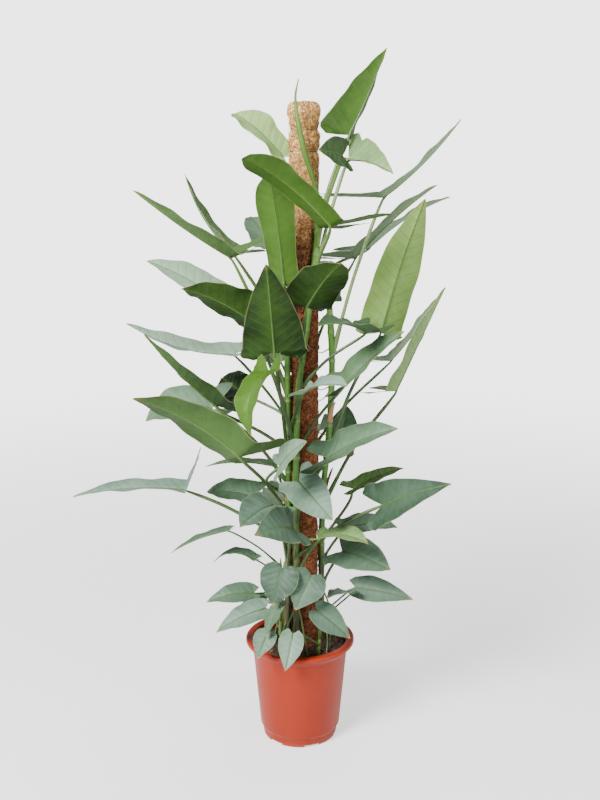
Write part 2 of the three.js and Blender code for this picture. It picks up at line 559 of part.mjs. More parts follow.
function bladeFrame(leaf) {
  const joint = sight(leaf.joint);
  const tip = sight(leaf.tip);
  const along = tip.clone().sub(joint);
  const length = along.length();
  along.normalize();
  const up = new THREE.Vector3(...leaf.face);
  up.addScaledVector(along, -up.dot(along)).normalize();
  const across = new THREE.Vector3().crossVectors(along, up);
  return { joint, along, up, across, length };
}

function bladePoint(leaf, frame, alongShare, acrossShare, side) {
  const { joint, along, up, across, length } = frame;
  const fold = THREE.MathUtils.degToRad(leaf.fold);
  const lift = THREE.MathUtils.degToRad(leaf.lift);
  const half = acrossShare * leaf.width / 2;
  const wave = EDGE_WAVE * acrossShare ** 2 * Math.sin(alongShare * EDGE_WAVE_RATE + side * EDGE_WAVE_SHIFT);
  const point = joint.clone();
  if (alongShare < 0) {
    const back = -alongShare * leaf.lobe * length;
    point.addScaledVector(along, -back * Math.cos(lift));
    point.addScaledVector(up, back * Math.sin(lift));
  } else {
    point.addScaledVector(along, alongShare * length);
    point.addScaledVector(up, leaf.arch * length * 4 * alongShare * (1 - alongShare));
  }
  point.addScaledVector(across, side * half * Math.cos(fold));
  point.addScaledVector(up, half * Math.sin(fold) + wave * leaf.width);
  return point;
}

// The middle surface of a blade: both halves share the midrib
function bladeSurface(leaf, frame) {
  const { rows, columns } = BLADE_KINDS[leaf.kind];
  const places = [];
  const triangles = [];
  for (const side of [1, -1]) {
    const start = places.length;
    for (const [inner, outer] of rows) {
      for (let column = 0; column <= columns; column += 1) {
        const share = column / columns;
        const alongShare = inner[0] + (outer[0] - inner[0]) * share;
        const acrossShare = inner[1] + (outer[1] - inner[1]) * share;
        places.push(bladePoint(leaf, frame, alongShare, acrossShare, side));
      }
    }
    for (let row = 0; row < rows.length - 1; row += 1) {
      for (let column = 0; column < columns; column += 1) {
        const a = start + row * (columns + 1) + column;
        const b = a + columns + 1;
        const quad = [a, a + 1, b + 1, a, b + 1, b];
        triangles.push(...(side > 0 ? quad : quad.reverse()));
      }
    }
  }
  return mergeVertices(indexedGeometry(places, triangles), 1e-3);
}

// A sheet of even thickness round a middle surface, split alike on both faces
function thickened(surface, thickness) {
  surface.computeVertexNormals();
  const place = surface.attributes.position;
  const normal = surface.attributes.normal;
  const corners = Array.from(surface.index.array);
  const places = [];
  for (const way of [0.5, -0.5]) {
    for (let vertex = 0; vertex < place.count; vertex += 1) {
      const point = new THREE.Vector3().fromBufferAttribute(place, vertex);
      const out = new THREE.Vector3().fromBufferAttribute(normal, vertex);
      places.push(point.addScaledVector(out, thickness * way));
    }
  }
  const triangles = [...corners];
  const edges = new Map();
  for (let corner = 0; corner < corners.length; corner += 3) {
    const face = corners.slice(corner, corner + 3);
    triangles.push(...face.map((vertex) => vertex + place.count).reverse());
    for (let step = 0; step < 3; step += 1) {
      edges.set(`${face[step]} ${face[(step + 1) % 3]}`, [face[step], face[(step + 1) % 3]]);
    }
  }
  for (const [from, to] of edges.values()) {
    if (!edges.has(`${to} ${from}`)) {
      triangles.push(from, to + place.count, to, from, from + place.count, to + place.count);
    }
  }
  return indexedGeometry(places, triangles);
}

function stalk(leaf, frame, foot) {
  const radii = PETIOLE_RADII[leaf.kind];
  const seat = frame.joint.clone().addScaledVector(frame.up, -radii.joint);
  const end = bladePoint(leaf, frame, STALK_OVERLAP / frame.length, 0, 1);
  end.addScaledVector(frame.up, -BLADE_THICKNESS / 2);
  const middle = foot.clone().lerp(seat, 0.5);
  middle.x -= (seat.x - foot.x) * PETIOLE_INSET;
  middle.y -= (seat.y - foot.y) * PETIOLE_INSET;
  middle.z += seat.distanceTo(foot) * PETIOLE_RISE;
  const bend = PETIOLE_BENDS[leaf.name];
  const points = [foot, bend ? sight(bend) : middle, seat, end];
  const radiusAt = (share) => {
    if (share < SHEATH_SHARE) {
      return radii.sheath;
    }
    return share < 1 ? radii.stalk : radii.joint;
  };
  return toSolid(tube(points, PETIOLE_STEPS, PETIOLE_SIDES, radiusAt));
}

function leafSolid(leaf, foot) {
  const frame = bladeFrame(leaf);
  const blade = toSolid(thickened(bladeSurface(leaf, frame), BLADE_THICKNESS));
  return blade.add(stalk(leaf, frame, foot));
}

// Assembly

const COLOURS = {
  pot: { color: 0xc8624e, roughness: 0.42 },
  soil: { color: 0x2a1e17, roughness: 0.95 },
  stick: { color: 0x8a6a48, roughness: 0.8 },
  coir: { color: 0xa0683c, roughness: 0.95 },
  vine: { color: 0x3f6a2a, roughness: 0.5 },
  adult: { color: 0x4f7a34, roughness: 0.45 },
  blunt: { color: 0x4f7a34, roughness: 0.45 },
  wedge: { color: 0x4f7a34, roughness: 0.45 },
  small: { color: 0x7f9c80, roughness: 0.5 },
  young: { color: 0x8fa898, roughness: 0.5 },
};

const plant = new THREE.Group();

function place(name, solid, look) {
  const material = new THREE.MeshStandardMaterial({ ...COLOURS[look], metalness: 0 });
  const mesh = new THREE.Mesh(toGeometry(solid), material);
  mesh.name = name;
  plant.add(mesh);
}

const poleHole = coir(GAP);
const holes = [poleHole, stick(GAP)];

for (const [name, points] of Object.entries(VINES)) {
  const bare = stemTube(points, VINE_RADIUS, 0);
  const grown = aerialRoots(name, points).reduce((sum, root) => sum.add(root), bare);
  place(`stem_${name}`, largestPiece(grown.subtract(poleHole)), "vine");
  holes.push(stemTube(points, VINE_RADIUS, GAP));
}

const spearStem = stemTube(VINES[SPEAR_STEM], VINE_RADIUS, GAP);
place("leaf_spear", largestPiece(spear().subtract(spearStem)), "adult");

for (const leaf of LEAVES.filter((each) => each.stem in VINES)) {
  const points = VINES[leaf.stem];
  const solid = leafSolid(leaf, stemPoint(points, leaf.at)).subtract(stemTube(points, VINE_RADIUS, GAP));
  place(leaf.name, largestPiece(solid), leaf.kind);
}

for (const [name, points] of Object.entries(SHOOTS)) {
  let solid = stemTube(points, SHOOT_RADIUS, 0);
  for (const leaf of LEAVES.filter((each) => each.stem === name)) {
    solid = solid.add(leafSolid(leaf, stemPoint(points, leaf.at)));
  }
  place(name, largestPiece(solid), "young");
  holes.push(stemTube(points, SHOOT_RADIUS, GAP));
}

place("pot", pot(), "pot");
place("soil", soil(holes), "soil");
place("pole_stick", stick(0), "stick");
place("pole_coir", coir(0).subtract(stick(GAP)), "coir");

export default plant;
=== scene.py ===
"""A potted philodendron hastatum on a coir pole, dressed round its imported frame."""
import json
import math
import random
import bmesh
import bpy
from bpy.props import FloatProperty, FloatVectorProperty, IntProperty, PointerProperty
from bpy.types import Operator, Panel, PropertyGroup
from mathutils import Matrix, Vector, noise


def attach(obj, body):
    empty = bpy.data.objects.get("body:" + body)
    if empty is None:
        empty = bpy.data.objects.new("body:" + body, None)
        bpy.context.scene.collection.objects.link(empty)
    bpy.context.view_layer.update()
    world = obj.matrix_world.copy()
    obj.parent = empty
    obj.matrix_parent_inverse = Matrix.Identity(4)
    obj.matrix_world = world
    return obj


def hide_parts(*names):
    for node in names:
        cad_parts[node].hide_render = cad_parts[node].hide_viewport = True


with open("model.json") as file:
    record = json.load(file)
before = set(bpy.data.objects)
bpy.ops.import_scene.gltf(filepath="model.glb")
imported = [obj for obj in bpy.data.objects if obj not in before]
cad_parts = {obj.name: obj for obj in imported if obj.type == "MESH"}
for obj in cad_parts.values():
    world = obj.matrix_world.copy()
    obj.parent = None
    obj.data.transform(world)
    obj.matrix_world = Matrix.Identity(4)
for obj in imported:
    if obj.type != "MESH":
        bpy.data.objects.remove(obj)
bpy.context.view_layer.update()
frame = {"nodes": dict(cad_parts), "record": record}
bl_info = {
    "name": "Potted Philodendron Hastatum",
    "version": (1, 0, 0),
    "blender": (4, 5, 0),
    "location": "3D View > Sidebar > Plant",
    "description": "Builds a climbing philodendron with its moss pole and nursery pot",
    "category": "Add Mesh",
}
MM = 0.001
BODY = "root"
# The stalk's place among a leaf's materials
STALK_INDEX = 2
# In metres: what the lamps look at, and the floor's radius
PLANT_MIDDLE = Vector((0, 0, 0.8))
FLOOR_RADIUS = 14

# The places of the leaves are written as they stand before an eye in front of the plant:
# x and z on the upright plane through the pot's centre, then the depth behind that plane.
EYE = Vector((0, -2160, 1270))
CAMERA_TILT = math.radians(13.1)

# Pot. Sizes are in millimetres unless a comment says otherwise.
RIM_RADIUS = 120
FOOT_RADIUS = 81
FOOT_WIDTH = 3
POT_WALL = 2
CHANNEL_HEIGHT = 6
CHANNEL_SLOPE = 4
FLOOR_DISC_RADIUS = 34
NOTCHES = 6
NOTCH_BEARING = math.radians(-71)
NOTCH_SIZE = (24, 34, 10)
DRAIN_HOLE_RADIUS = 5
DRAIN_RING_RADIUS = 55

# Soil: its ground, the plain plug below it, and the crumbs on it
SOIL_LEVEL = 212
SOIL_RADIUS = 101.9
SOIL_EDGE = 207
SOIL_STEPS = 72
PLUG_RADIUS = 85.5
PLUG_BOTTOM = 31
CHIP_SHARE = 0.4
CRUMB_REACH = 99
CRUMB_EDGE = 92

# Pole
POLE_X = 8
POLE_RADIUS = 31
POLE_TOP = 1375
COIR_BOTTOM = 150
COIR_CROWN = [
    (31, 1342), (32.4, 1350), (32.4, 1360), (30, 1369), (24, 1373.5), (14, POLE_TOP), (0, POLE_TOP),
]
WAISTS = [463, 706, 825, 1037, 1279, 1322]
WAIST_DEPTH = 4.6
WAIST_REACH = 5.88
COIR_STEP = 4
COIR_SIDES = 64
TIE_STEPS = 26

# Seeds of the random draws, and of the noise that wavers the roots
ROOT_SEED = 9
CRUMB_SEED = 11
FIBRE_SEED = 5
TIE_SEED = 3
SHEATH_SEED = 21

VINE_RADIUS = 7.3
SHOOT_RADIUS = 3.4
STEM_STEP = 3.5
RING_SPACING = 75
# Scar rings: their swelling as a share of the radius, its reach, and the reach of their colour
RING_SWELL = 0.13
RING_REACH = 3.2
RING_BAND = 2.0
STALK_STEPS = 26
RIB_STEPS = 12
# How far from the joint the midrib starts
RIB_START = 8
SPEAR_STEPS = 60
# The side rib of a lobe as a share of the lobe's width, and the slant of the side veins
LOBE_RIB = 0.42
VEIN_SLANT = 0.62
# Half the width, in a flat grid, of what counts as its middle line
MIDDLE = 1e-5

# Climbing stems and young shoots, as points [x, y, z] from the soil upwards
VINES = {
    "front": [
        (-8, -37, 120), (-8, -37, 420), (-4, -38.5, 780), (20, -38, 980), (33, -31, 1090), (38, -27, 1192),
    ],
    "left": [(-30, -24, 120), (-26, -22, 420), (-25, -23, 700), (-27, -22, 880), (-30, -16, 1010)],
    "right": [(50, 12, 120), (47, 9, 380), (50, 6, 560), (62, 4, 700), (67, 2, 850), (60, 4, 985)],
    "back": [(-4, 42, 120), (2, 40, 500), (14, 40, 800), (4, 40, 1000), (12, 39, 1160)],
}
SHOOTS = {
    "shoot_left": [(-46, -52, 150), (-44, -54, 240), (-40, -56, 330)],
    "shoot_right": [(40, -58, 150), (42, -60, 240), (46, -62, 330)],
    "shoot_back": [(-30, 62, 150), (-38, 60, 260), (-44, 56, 390)],
}

# The rolled youngest leaf at the top of the front stem, as sighted points, and its radii
SPEAR_FOOT = 1150
SPEAR_POINTS = [
    (38, 1181, -36), (25, 1227, -48), (8, 1281, -53), (-6, 1348, -55), (-9, 1386, -52), (-3, 1417, -48),
]
SPEAR_RADII = [4.4, 3.2, 4.2, 5.8, 6.6, 5.8, 4.2, 2.4, 1.2]

# Roots in the air, from a stem at a height to a point on or beside the pole
AERIAL_ROOTS = [
    ("right", 880, (34, 2, 868)), ("right", 800, (36, -8, 792)), ("right", 790, (34, 12, 760)),
    ("right", 690, (34, 6, 700)), ("front", 1125, (-2, -30, 1150)), ("front", 900, (30, -24, 880)),
    ("front", 480, (16, -29, 462)), ("left", 560, (-22, -10, 520)), ("left", 545, (-20, -15, 500)),
    ("left", 850, (-22, -6, 838)), ("left", 700, (-21, -12, 680)), ("back", 1050, (30, 26, 1035)),
]

# Roots and young stalks from a stem at a height down to a place on the soil
GROUND_ROOTS = [
    ("front", 300, (-20, -72)), ("front", 340, (18, -70)), ("front", 262, (2, -84)),
    ("front", 318, (-48, -62)), ("left", 330, (-62, -40)), ("left", 280, (-50, -66)),
    ("left", 360, (-74, -8)), ("right", 320, (66, -34)), ("right", 290, (58, -58)),
    ("right", 350, (80, -6)), ("right", 270, (34, -62)), ("back", 330, (-22, 74)), ("back", 300, (26, 76)),
]
# Stems and heights at which a dried sheath still clings
SHEATHS = [
    ("left", 250), ("left", 372), ("left", 506), ("left", 655), ("left", 742), ("front", 268), ("front", 352),
    ("front", 446), ("front", 575), ("front", 790), ("right", 262), ("right", 402), ("right", 560),
    ("right", 720), ("back", 310), ("back", 480), ("back", 640), ("back", 880),
]

# Rows of a blade from the lobe's end to the leaf's tip. Each row runs from its inner to its outer
# point, as (along, across): along is a share of the midrib, across a share of the half width.
GROWN_LOBE = [
    ((-0.43, 0.70), (-0.43, 0.73)), ((-0.40, 0.62), (-0.41, 0.80)), ((-0.19, 0.26), (-0.22, 1.05)),
]
YOUNG_LOBE = [((-0.13, 0.40), (-0.13, 0.43)), ((-0.10, 0.30), (-0.11, 0.52))]


def blade_rows(lobe, *rows):
    """The lobe's rows, then rows out from the midrib, each as its foot, its edge and its half width."""
    return [*lobe, *(((foot, 0.0), (edge, across)) for foot, edge, across in rows)]


BLADE_ROWS = {
    "adult": blade_rows(
        GROWN_LOBE, (0.00, 0.03, 0.92), (0.18, 0.21, 0.95), (0.40, 0.43, 0.91), (0.62, 0.64, 0.75),
        (0.83, 0.84, 0.43), (1.00, 1.00, 0.02),
    ),
    "blunt": blade_rows(
        GROWN_LOBE, (0.00, 0.03, 0.84), (0.20, 0.22, 0.76), (0.45, 0.47, 0.88), (0.70, 0.71, 1.00),
        (0.90, 0.88, 0.80), (1.00, 0.98, 0.34),
    ),
    "wedge": blade_rows(
        GROWN_LOBE, (0.00, 0.03, 0.97), (0.18, 0.20, 0.90), (0.40, 0.42, 0.74), (0.62, 0.63, 0.52),
        (0.83, 0.84, 0.25), (1.00, 1.00, 0.02),
    ),
    "young": blade_rows(
        YOUNG_LOBE, (0.00, 0.00, 0.84), (0.22, 0.24, 1.00), (0.48, 0.50, 0.86), (0.74, 0.75, 0.48),
        (1.00, 1.00, 0.03),
    ),
}
BLADE_ROWS["small"] = BLADE_ROWS["adult"]
# The row at which a blade meets its stalk
JOINT_ROW = {kind: len(YOUNG_LOBE if kind == "young" else GROWN_LOBE) for kind in BLADE_ROWS}
# Radii of a stalk in its sheath, along its length and at the joint
PETIOLE_RADII = dict.fromkeys(("adult", "blunt", "wedge"), (5.6, 4.0, 1.9))
PETIOLE_RADII.update(small=(5.0, 3.4, 1.6), young=(3.2, 2.1, 1.2))
# Height of the soft quilting between the side veins
QUILT = {"adult": 0.6, "blunt": 0.6, "wedge": 0.6, "small": 0.45, "young": 0.35}
# How far the very tip has yellowed
DRY_TIP = {"adult": 0.2, "blunt": 0.0, "wedge": 0.15, "small": 0.3, "young": 0.8}
PETIOLE_INSET = 0.05
PETIOLE_RISE = 0.03
# Waves of the whole edge and smaller ripples, as shares of the width, with their rate along the blade
# and the shift from one side to the other
EDGE_WAVE = 0.035
EDGE_WAVE_RATE = 11
EDGE_WAVE_SHIFT = 1.1
RIPPLE = 0.012
RIPPLE_RATE = 23
RIPPLE_SHIFT = 2.3
# The groove over the midrib
GROOVE_DEPTH = 1.2
GROOVE_REACH = 3.2
# Above 1, the faces lie closer together at the midrib than at the edge
COLUMN_EASE = 1.25

# Stalks that bend on their way to the joint, and the sighted point of the bend
PETIOLE_BENDS = {
    "leaf_31": (-165, 533, -10),
    "leaf_36": (108, 545, 15),
    "leaf_37": (112, 502, -70),
    "leaf_46": (-72, 588, -92),
}

# Leaves. stem and at say where the stalk springs, joint and tip are the ends of the midrib,
# and face is where the upper side looks. Fold and lift are degrees, lobe and arch shares of the
# length. Tone runs from 0, the deepest, to 1, the palest, and bloom from 0, plain green, to 1, silvery.
# Tone is partly painted light: the pale tones of leaf_02 and leaf_04 stand for light shining through them.
LEAF_FIELDS = (
    "name", "kind", "stem", "at", "joint", "tip", "face", "width", "lobe", "arch", "fold", "lift",
    "tone", "bloom",
)
LEAVES = [dict(zip(LEAF_FIELDS, row)) for row in [
    ("leaf_01", "wedge", "front", 1130, (97, 1310, -12), (170, 1476, 20),
     (-7, 7, 0), 118, 0.18, -0.02, 40, 0, 0.16, 0),
    # Its pale tone is painted light shining through the blade.
    ("leaf_02", "wedge", "front", 1000, (97, 1262, -20), (187, 1235, -90),
     (1, -6, 8), 108, 0.45, 0.08, 30, 20, 0.75, 0.3),
    ("leaf_03", "small", "front", 1085, (86, 1270, -95), (38, 1282, -150),
     (3, -8, 3), 68, 0.4, 0.06, 18, 0, 0.2, 0.3),
    # Its palest tone is painted light shining through the blade.
    ("leaf_04", "blunt", "back", 1130, (-34, 1268, 70), (-130, 1352, 120),
     (4, -5, 7), 98, 0.4, 0.06, 16, 10, 1, 0.1),
    ("leaf_05", "blunt", "front", 1000, (62, 1130, -130), (-113, 1268, -215),
     (4, 6.5, 7), 86, 1.4, 0.06, 8, 40, 0.33, 0),
    ("leaf_06", "blunt", "left", 930, (-33, 1012, -90), (-62, 1232, -140),
     (1, 9, 1), 78, 0.35, 0.07, 15, 10, 0.32, 0),
    ("leaf_07", "adult", "left", 780, (-140, 1066, -38), (-336, 1202, -110),
     (4.8, 2, 7.8), 90, 1.0, -0.02, 20, 55, 0.45, 0.2),
    ("leaf_08", "wedge", "back", 790, (-134, 1074, 52), (-231, 1235, 80),
     (9, -1, 5), 100, 0.8, -0.08, 15, 60, 0.55, 0.3),
    ("leaf_09", "small", "back", 720, (-160, 975, 100), (-314, 1061, 150),
     (3, -5, 8), 95, 0.8, 0.05, 15, 20, 0.85, 0.8),
    ("leaf_10", "adult", "left", 720, (-100, 935, -75), (-245, 1004, -150),
     (3, 7, 6), 124, 0.5, 0.06, 15, 20, 0.14, 0),
    ("leaf_11", "wedge", "left", 625, (-54, 870, -110), (-69, 1053, -215),
     (0, 9, 2), 134, 0.3, 0.03, 12, 0, 0.03, 0),
    ("leaf_12", "adult", "front", 740, (14, 965, -100), (84, 1056, -240),
     (0, 6, 7), 115, 0.45, 0.05, 12, 10, 0.05, 0),
    ("leaf_13", "adult", "right", 650, (168, 912, 20), (253, 1185, -10),
     (-3, 8, 0), 108, 0.1, 0.03, 6, 0, 0.75, 0),
    ("leaf_14", "adult", "right", 860, (168, 1188, 30), (320, 1341, 45),
     (-7, 1, 7), 86, 1.3, -0.04, 12, 45, 0.75, 0.7),
    ("leaf_15", "small", "back", 820, (112, 1065, 68), (276, 1213, 105),
     (-6, 2, 8), 95, 0.9, 0.03, 15, 40, 0.65, 0.6),
    ("leaf_16", "small", "back", 1000, (140, 1085, 178), (303, 1189, 265),
     (-4, 1, 8), 90, 0.9, 0.05, 15, 20, 0.7, 0.7),
    ("leaf_17", "small", "front", 800, (138, 912, -60), (38, 926, -200),
     (0, -2, 9), 85, 0.7, 0.06, 15, 20, 0.35, 0.6),
    ("leaf_18", "adult", "right", 530, (202, 787, 0), (299, 1006, -20),
     (-8, 3.4, 3), 100, 0.6, 0.0, 12, 60, 0.75, 0.2),
    ("leaf_19", "small", "back", 620, (190, 852, 90), (282, 985, 130),
     (-8, 2, 6), 90, 0.9, -0.03, 15, 50, 0.7, 0.7),
    ("leaf_20", "small", "front", 660, (97, 803, -70), (217, 914, -100),
     (-6, -3, 7), 85, 0.6, 0.03, 18, 20, 0.5, 0.6),
    ("leaf_21", "small", "left", 690, (6, 781, -96), (100, 798, -200),
     (0, -3, 8), 75, 0.2, 0.08, 15, 10, 0.8, 1),
    ("leaf_22", "small", "back", 520, (82, 668, 70), (100, 755, 120),
     (2, -8, 4), 72, 0.6, 0.05, 12, 10, 0.3, 0.7),
    ("leaf_23", "adult", "front", 540, (60, 640, -80), (207, 705, -150),
     (-1, -4, 8), 98, 0.7, 0.06, 15, 10, 0.5, 0.8),
    ("leaf_24", "small", "back", 650, (-140, 866, 25), (-360, 931, 40),
     (2, -1.2, 8.5), 96, 0.7, -0.08, 15, 25, 0.8, 0.9),
    ("leaf_25", "wedge", "left", 590, (-180, 757, -40), (-324, 908, -110),
     (5, 5, 6), 95, 0.6, -0.03, 18, 10, 0.22, 0.3),
    ("leaf_26", "adult", "back", 620, (-187, 748, 78), (-328, 722, 95),
     (0, -6, 8), 105, 0.9, 0.24, 10, 20, 0.55, 0.8),
    ("leaf_27", "adult", "left", 520, (-130, 642, -95), (-352, 771, -160),
     (2, 7, 6), 132, 0.8, 0.07, 12, 30, 0.28, 0.2),
    ("leaf_28", "small", "back", 690, (-118, 780, 110), (-165, 816, 185),
     (0, -8, 4), 86, 0.8, 0.04, 12, 20, 0.05, 0.3),
    ("leaf_29", "adult", "front", 660, (-66, 830, -160), (-104, 688, -220),
     (-6, -4, 5), 80, 0.6, 0.22, 10, 0, 0.42, 0),
    ("leaf_30", "small", "left", 540, (-55, 622, 25), (-202, 622, 45),
     (0, 1, 9), 60, 0.2, 0.06, 12, 10, 0.4, 0.6),
    ("leaf_31", "adult", "left", 460, (-245, 568, 0), (-490, 553, -10),
     (0, 0, 9), 92, 0.8, 0.05, 12, 65, 0.65, 1),
    ("leaf_32", "small", "back", 470, (-100, 556, 60), (-202, 565, 100),
     (0, -4, 8), 78, 0.5, 0.08, 12, 10, 0.35, 0.8),
    ("leaf_33", "small", "left", 415, (-60, 534, -58), (-130, 484, -180),
     (-1, -7, 6), 92, 0.3, 0.08, 10, 0, 0.48, 1),
    ("leaf_34", "small", "left", 380, (-18, 482, -120), (-98, 466, -235),
     (0, -8, 5), 92, 0.5, 0.12, 10, 0, 0.36, 0.9),
    ("leaf_35", "small", "front", 500, (-2, 586, -72), (70, 500, -160),
     (-1, -8, 4), 85, 0.5, 0.08, 10, 0, 0.6, 1),
    ("leaf_36", "small", "right", 450, (115, 572, 22), (222, 618, 35),
     (-2, -3, 8), 50, 0.5, 0.04, 15, 10, 0.62, 0.2),
    ("leaf_37", "wedge", "front", 430, (178, 534, -88), (325, 582, -185),
     (-2, -8, 5), 98, 0.55, 0.08, 12, 0, 0.2, 0.9),
    ("leaf_38", "small", "right", 400, (96, 478, 40), (212, 483, 50),
     (0, -4, 8), 62, 0.4, 0.14, 12, 0, 0.55, 0.9),
    ("leaf_39", "small", "front", 380, (40, 456, -76), (148, 446, -190),
     (1, -3, 8), 78, 0.5, 0.1, 12, 0, 0.75, 0.2),
    ("leaf_40", "small", "right", 340, (92, 428, -25), (198, 385, -110),
     (1, -7, 6), 90, 0.5, 0.08, 10, 0, 0.5, 0.9),
    ("leaf_41", "small", "back", 960, (-60, 1085, 150), (-99, 1150, 280),
     (1, -3, 8), 95, 0.8, 0.05, 15, 20, 0.4, 0.7),
    ("leaf_42", "small", "back", 850, (40, 980, 160), (60, 1060, 330),
     (0, -4, 8), 105, 0.9, 0.05, 15, 20, 0.4, 0.7),
    ("leaf_43", "small", "back", 700, (-40, 850, 180), (-90, 900, 350),
     (0, -4, 8), 105, 0.9, 0.05, 15, 20, 0.4, 0.7),
    ("leaf_44", "small", "back", 560, (40, 700, 180), (90, 690, 360),
     (0, 2, 9), 100, 0.9, 0.08, 12, 20, 0.4, 0.7),
    ("leaf_45", "small", "back", 420, (-30, 560, 150), (-60, 520, 300),
     (0, 3, 9), 95, 0.7, 0.1, 12, 10, 0.4, 0.7),
    ("leaf_46", "small", "left", 565, (-44, 622, -150), (14, 677, -215),
     (-2, -6, 6), 60, 0.4, 0.06, 10, 0, 0.6, 0.9),
    ("young_01", "young", "shoot_left", 320, (-38, 388, -95), (-60, 300, -120),
     (-2, -8, 4), 86, 1.0, 0.06, 8, 0, 0.2, 1),
    ("young_02", "young", "shoot_right", 310, (24, 372, -95), (-10, 290, -125),
     (0, -8, 4), 82, 1.0, 0.06, 8, 0, 0.35, 1),
    ("young_03", "young", "shoot_right", 250, (36, 290, -95), (112, 222, -105),
     (1, -7, 6), 60, 1.0, 0.05, 8, 0, 0.42, 1),
    ("young_04", "young", "shoot_right", 235, (-16, 232, -110), (-33, 142, -150),
     (0, -8, 3), 54, 1.0, 0.08, 8, 0, 0.7, 1),
    ("young_05", "young", "shoot_left", 250, (-72, 235, -110), (-95, 172, -150),
     (-2, -8, 3), 50, 1.0, 0.08, 8, 0, 0.6, 1),
    ("young_06", "young", "shoot_left", 290, (-42, 305, -90), (-76, 225, -135),
     (-7, -5, 4), 46, 1.0, 0.06, 8, 0, 0.5, 0.8),
    ("young_07", "young", "shoot_left", 270, (-76, 294, -40), (-187, 236, -60),
     (-2, -5, 7), 60, 1.0, 0.1, 8, 0, 0.55, 1),
    ("young_08", "young", "shoot_back", 300, (-102, 330, 20), (-207, 309, 10),
     (0, -5, 8), 56, 1.0, 0.12, 8, 0, 0.45, 0.9),
    ("young_09", "young", "shoot_back", 270, (-80, 310, 60), (-132, 303, 90),
     (0, -4, 8), 44, 1.0, 0.06, 8, 0, 0.4, 0.8),
    ("young_10", "young", "shoot_back", 370, (-157, 476, 20), (-282, 425, 10),
     (-2, 1, 9), 54, 1.0, 0.05, 12, 0, 0.4, 0.8),
    ("young_11", "young", "shoot_back", 340, (-97, 410, 60), (-189, 404, 80),
     (0, 0, 9), 46, 1.0, 0.2, 12, 0, 0.45, 0.8),
    ("young_12", "young", "shoot_right", 280, (112, 330, -50), (60, 318, -120),
     (0, 2, 9), 60, 1.0, 0.06, 10, 0, 0.4, 0.9),
    ("young_13", "young", "shoot_right", 300, (122, 344, -30), (250, 315, -60),
     (0, -6, 6), 60, 1.0, 0.06, 8, 0, 0.48, 1),
]]


# Settings
def tint(name, description, colour):
    return FloatVectorProperty(name=name, description=description, subtype="COLOR", default=colour)


def measure(name, description, millimetres):
    return FloatProperty(name=name, description=description, unit="LENGTH", default=millimetres * MM)


def amount(name, description, number, least=0):
    return IntProperty(name=name, description=description, default=number, min=least)


def level(name, description, number, unit="NONE"):
    return FloatProperty(name=name, description=description, unit=unit, default=number)


class PotSettings(PropertyGroup):
    """Sizes and colours of the nursery pot and the soil."""

    turn_steps: amount("Turn steps", "Steps round the pot", 120, 24)
    colour: tint("Plastic", "Colour of the pot's plastic", (0.285, 0.022, 0.005))
    shade: tint("Plastic shade", "Where the plastic is duller", (0.235, 0.017, 0.004))
    soil: tint("Soil", "Colour of the damp soil", (0.022, 0.012, 0.008))
    bark: tint("Bark", "Colour of the bark chips in the soil", (0.13, 0.05, 0.025))
    crumbs: amount("Crumbs", "Crumbs and chips on the soil", 420)


class PoleSettings(PropertyGroup):
    """Sizes and colours of the coir pole."""

    fibres: amount("Fibres", "Loose fibres round the pole", 4200)
    fibre_radius: measure("Fibre radius", "Radius of a loose fibre", 0.28)
    tie_radius: measure("Tie radius", "Radius of the twine round the waists", 0.7)
    dry: tint("Dry coir", "Colour at the dry top", (0.95, 0.50, 0.17))
    # Damp coir lower down is also darker, as painted shade where the leaves hang round the pole.
    damp: tint("Damp coir", "Colour lower down", (0.31, 0.105, 0.045))


class FoliageSettings(PropertyGroup):
    """Fineness and colours of the leaves and the stems."""

    thickness: measure("Blade thickness", "Thickness of a blade", 0.8)
    columns: amount("Columns", "Faces across half a blade", 11, 2)
    span_steps: amount("Span steps", "Faces along each span of a blade", 7, 2)
    vein_pitch: measure("Vein pitch", "Distance between side veins", 21)
    green_deep: tint("Green, deep", "The deepest plain green", (0.008, 0.023, 0.003))
    green_mid: tint("Green, middle", "The middle plain green", (0.052, 0.120, 0.012))
    green_pale: tint("Green, pale", "The palest plain green", (0.23, 0.36, 0.10))
    silver_deep: tint("Silver, deep", "The deepest silvery green", (0.016, 0.038, 0.020))
    silver_mid: tint("Silver, middle", "The middle silvery green", (0.085, 0.145, 0.098))
    silver_pale: tint("Silver, pale", "The palest silvery green", (0.26, 0.37, 0.29))
    margin: tint("Margin", "Thin pale edge of a blade", (0.36, 0.38, 0.15))
    dry_tip: tint("Dry tip", "Yellowed tip of a young blade", (0.42, 0.24, 0.06))
    # The stems' greens are kept dark, partly as painted shade in the dense middle of the plant.
    stem: tint("Stem", "Colour of a climbing stem", (0.035, 0.10, 0.010))
    stem_tip: tint("Stem tip", "Colour of a stem's youngest length", (0.11, 0.28, 0.03))
    stem_ring: tint("Stem ring", "Colour of the scar rings on a stem", (0.16, 0.24, 0.08))


class StageSettings(PropertyGroup):
    """The studio round the plant."""

    lens: level("Lens", "Focal length in millimetres", 47.25)
    floor: tint("Floor", "Colour of the floor", (0.93, 0.93, 0.925))
    key: level("Key light", "Power of the soft key light", 400.0, "POWER")
    fill: level("Fill light", "Power of the fill light", 60.0, "POWER")
    glow: level("Glow", "Brightness of the white surround low down", 3.6)
    roof: level("Roof", "Strength of the surround overhead", 0.38)
    cast: level("Cast", "Share of the surround's brightness that lights the plant", 0.33)


# Places and curves, in millimetres
def sight(point):
    x, z, depth = point
    reach = (depth - EYE.y) / -EYE.y
    return Vector((EYE.x + (x - EYE.x) * reach, depth, EYE.z + (z - EYE.z) * reach))


def mix(low, high, share):
    return low + (high - low) * share


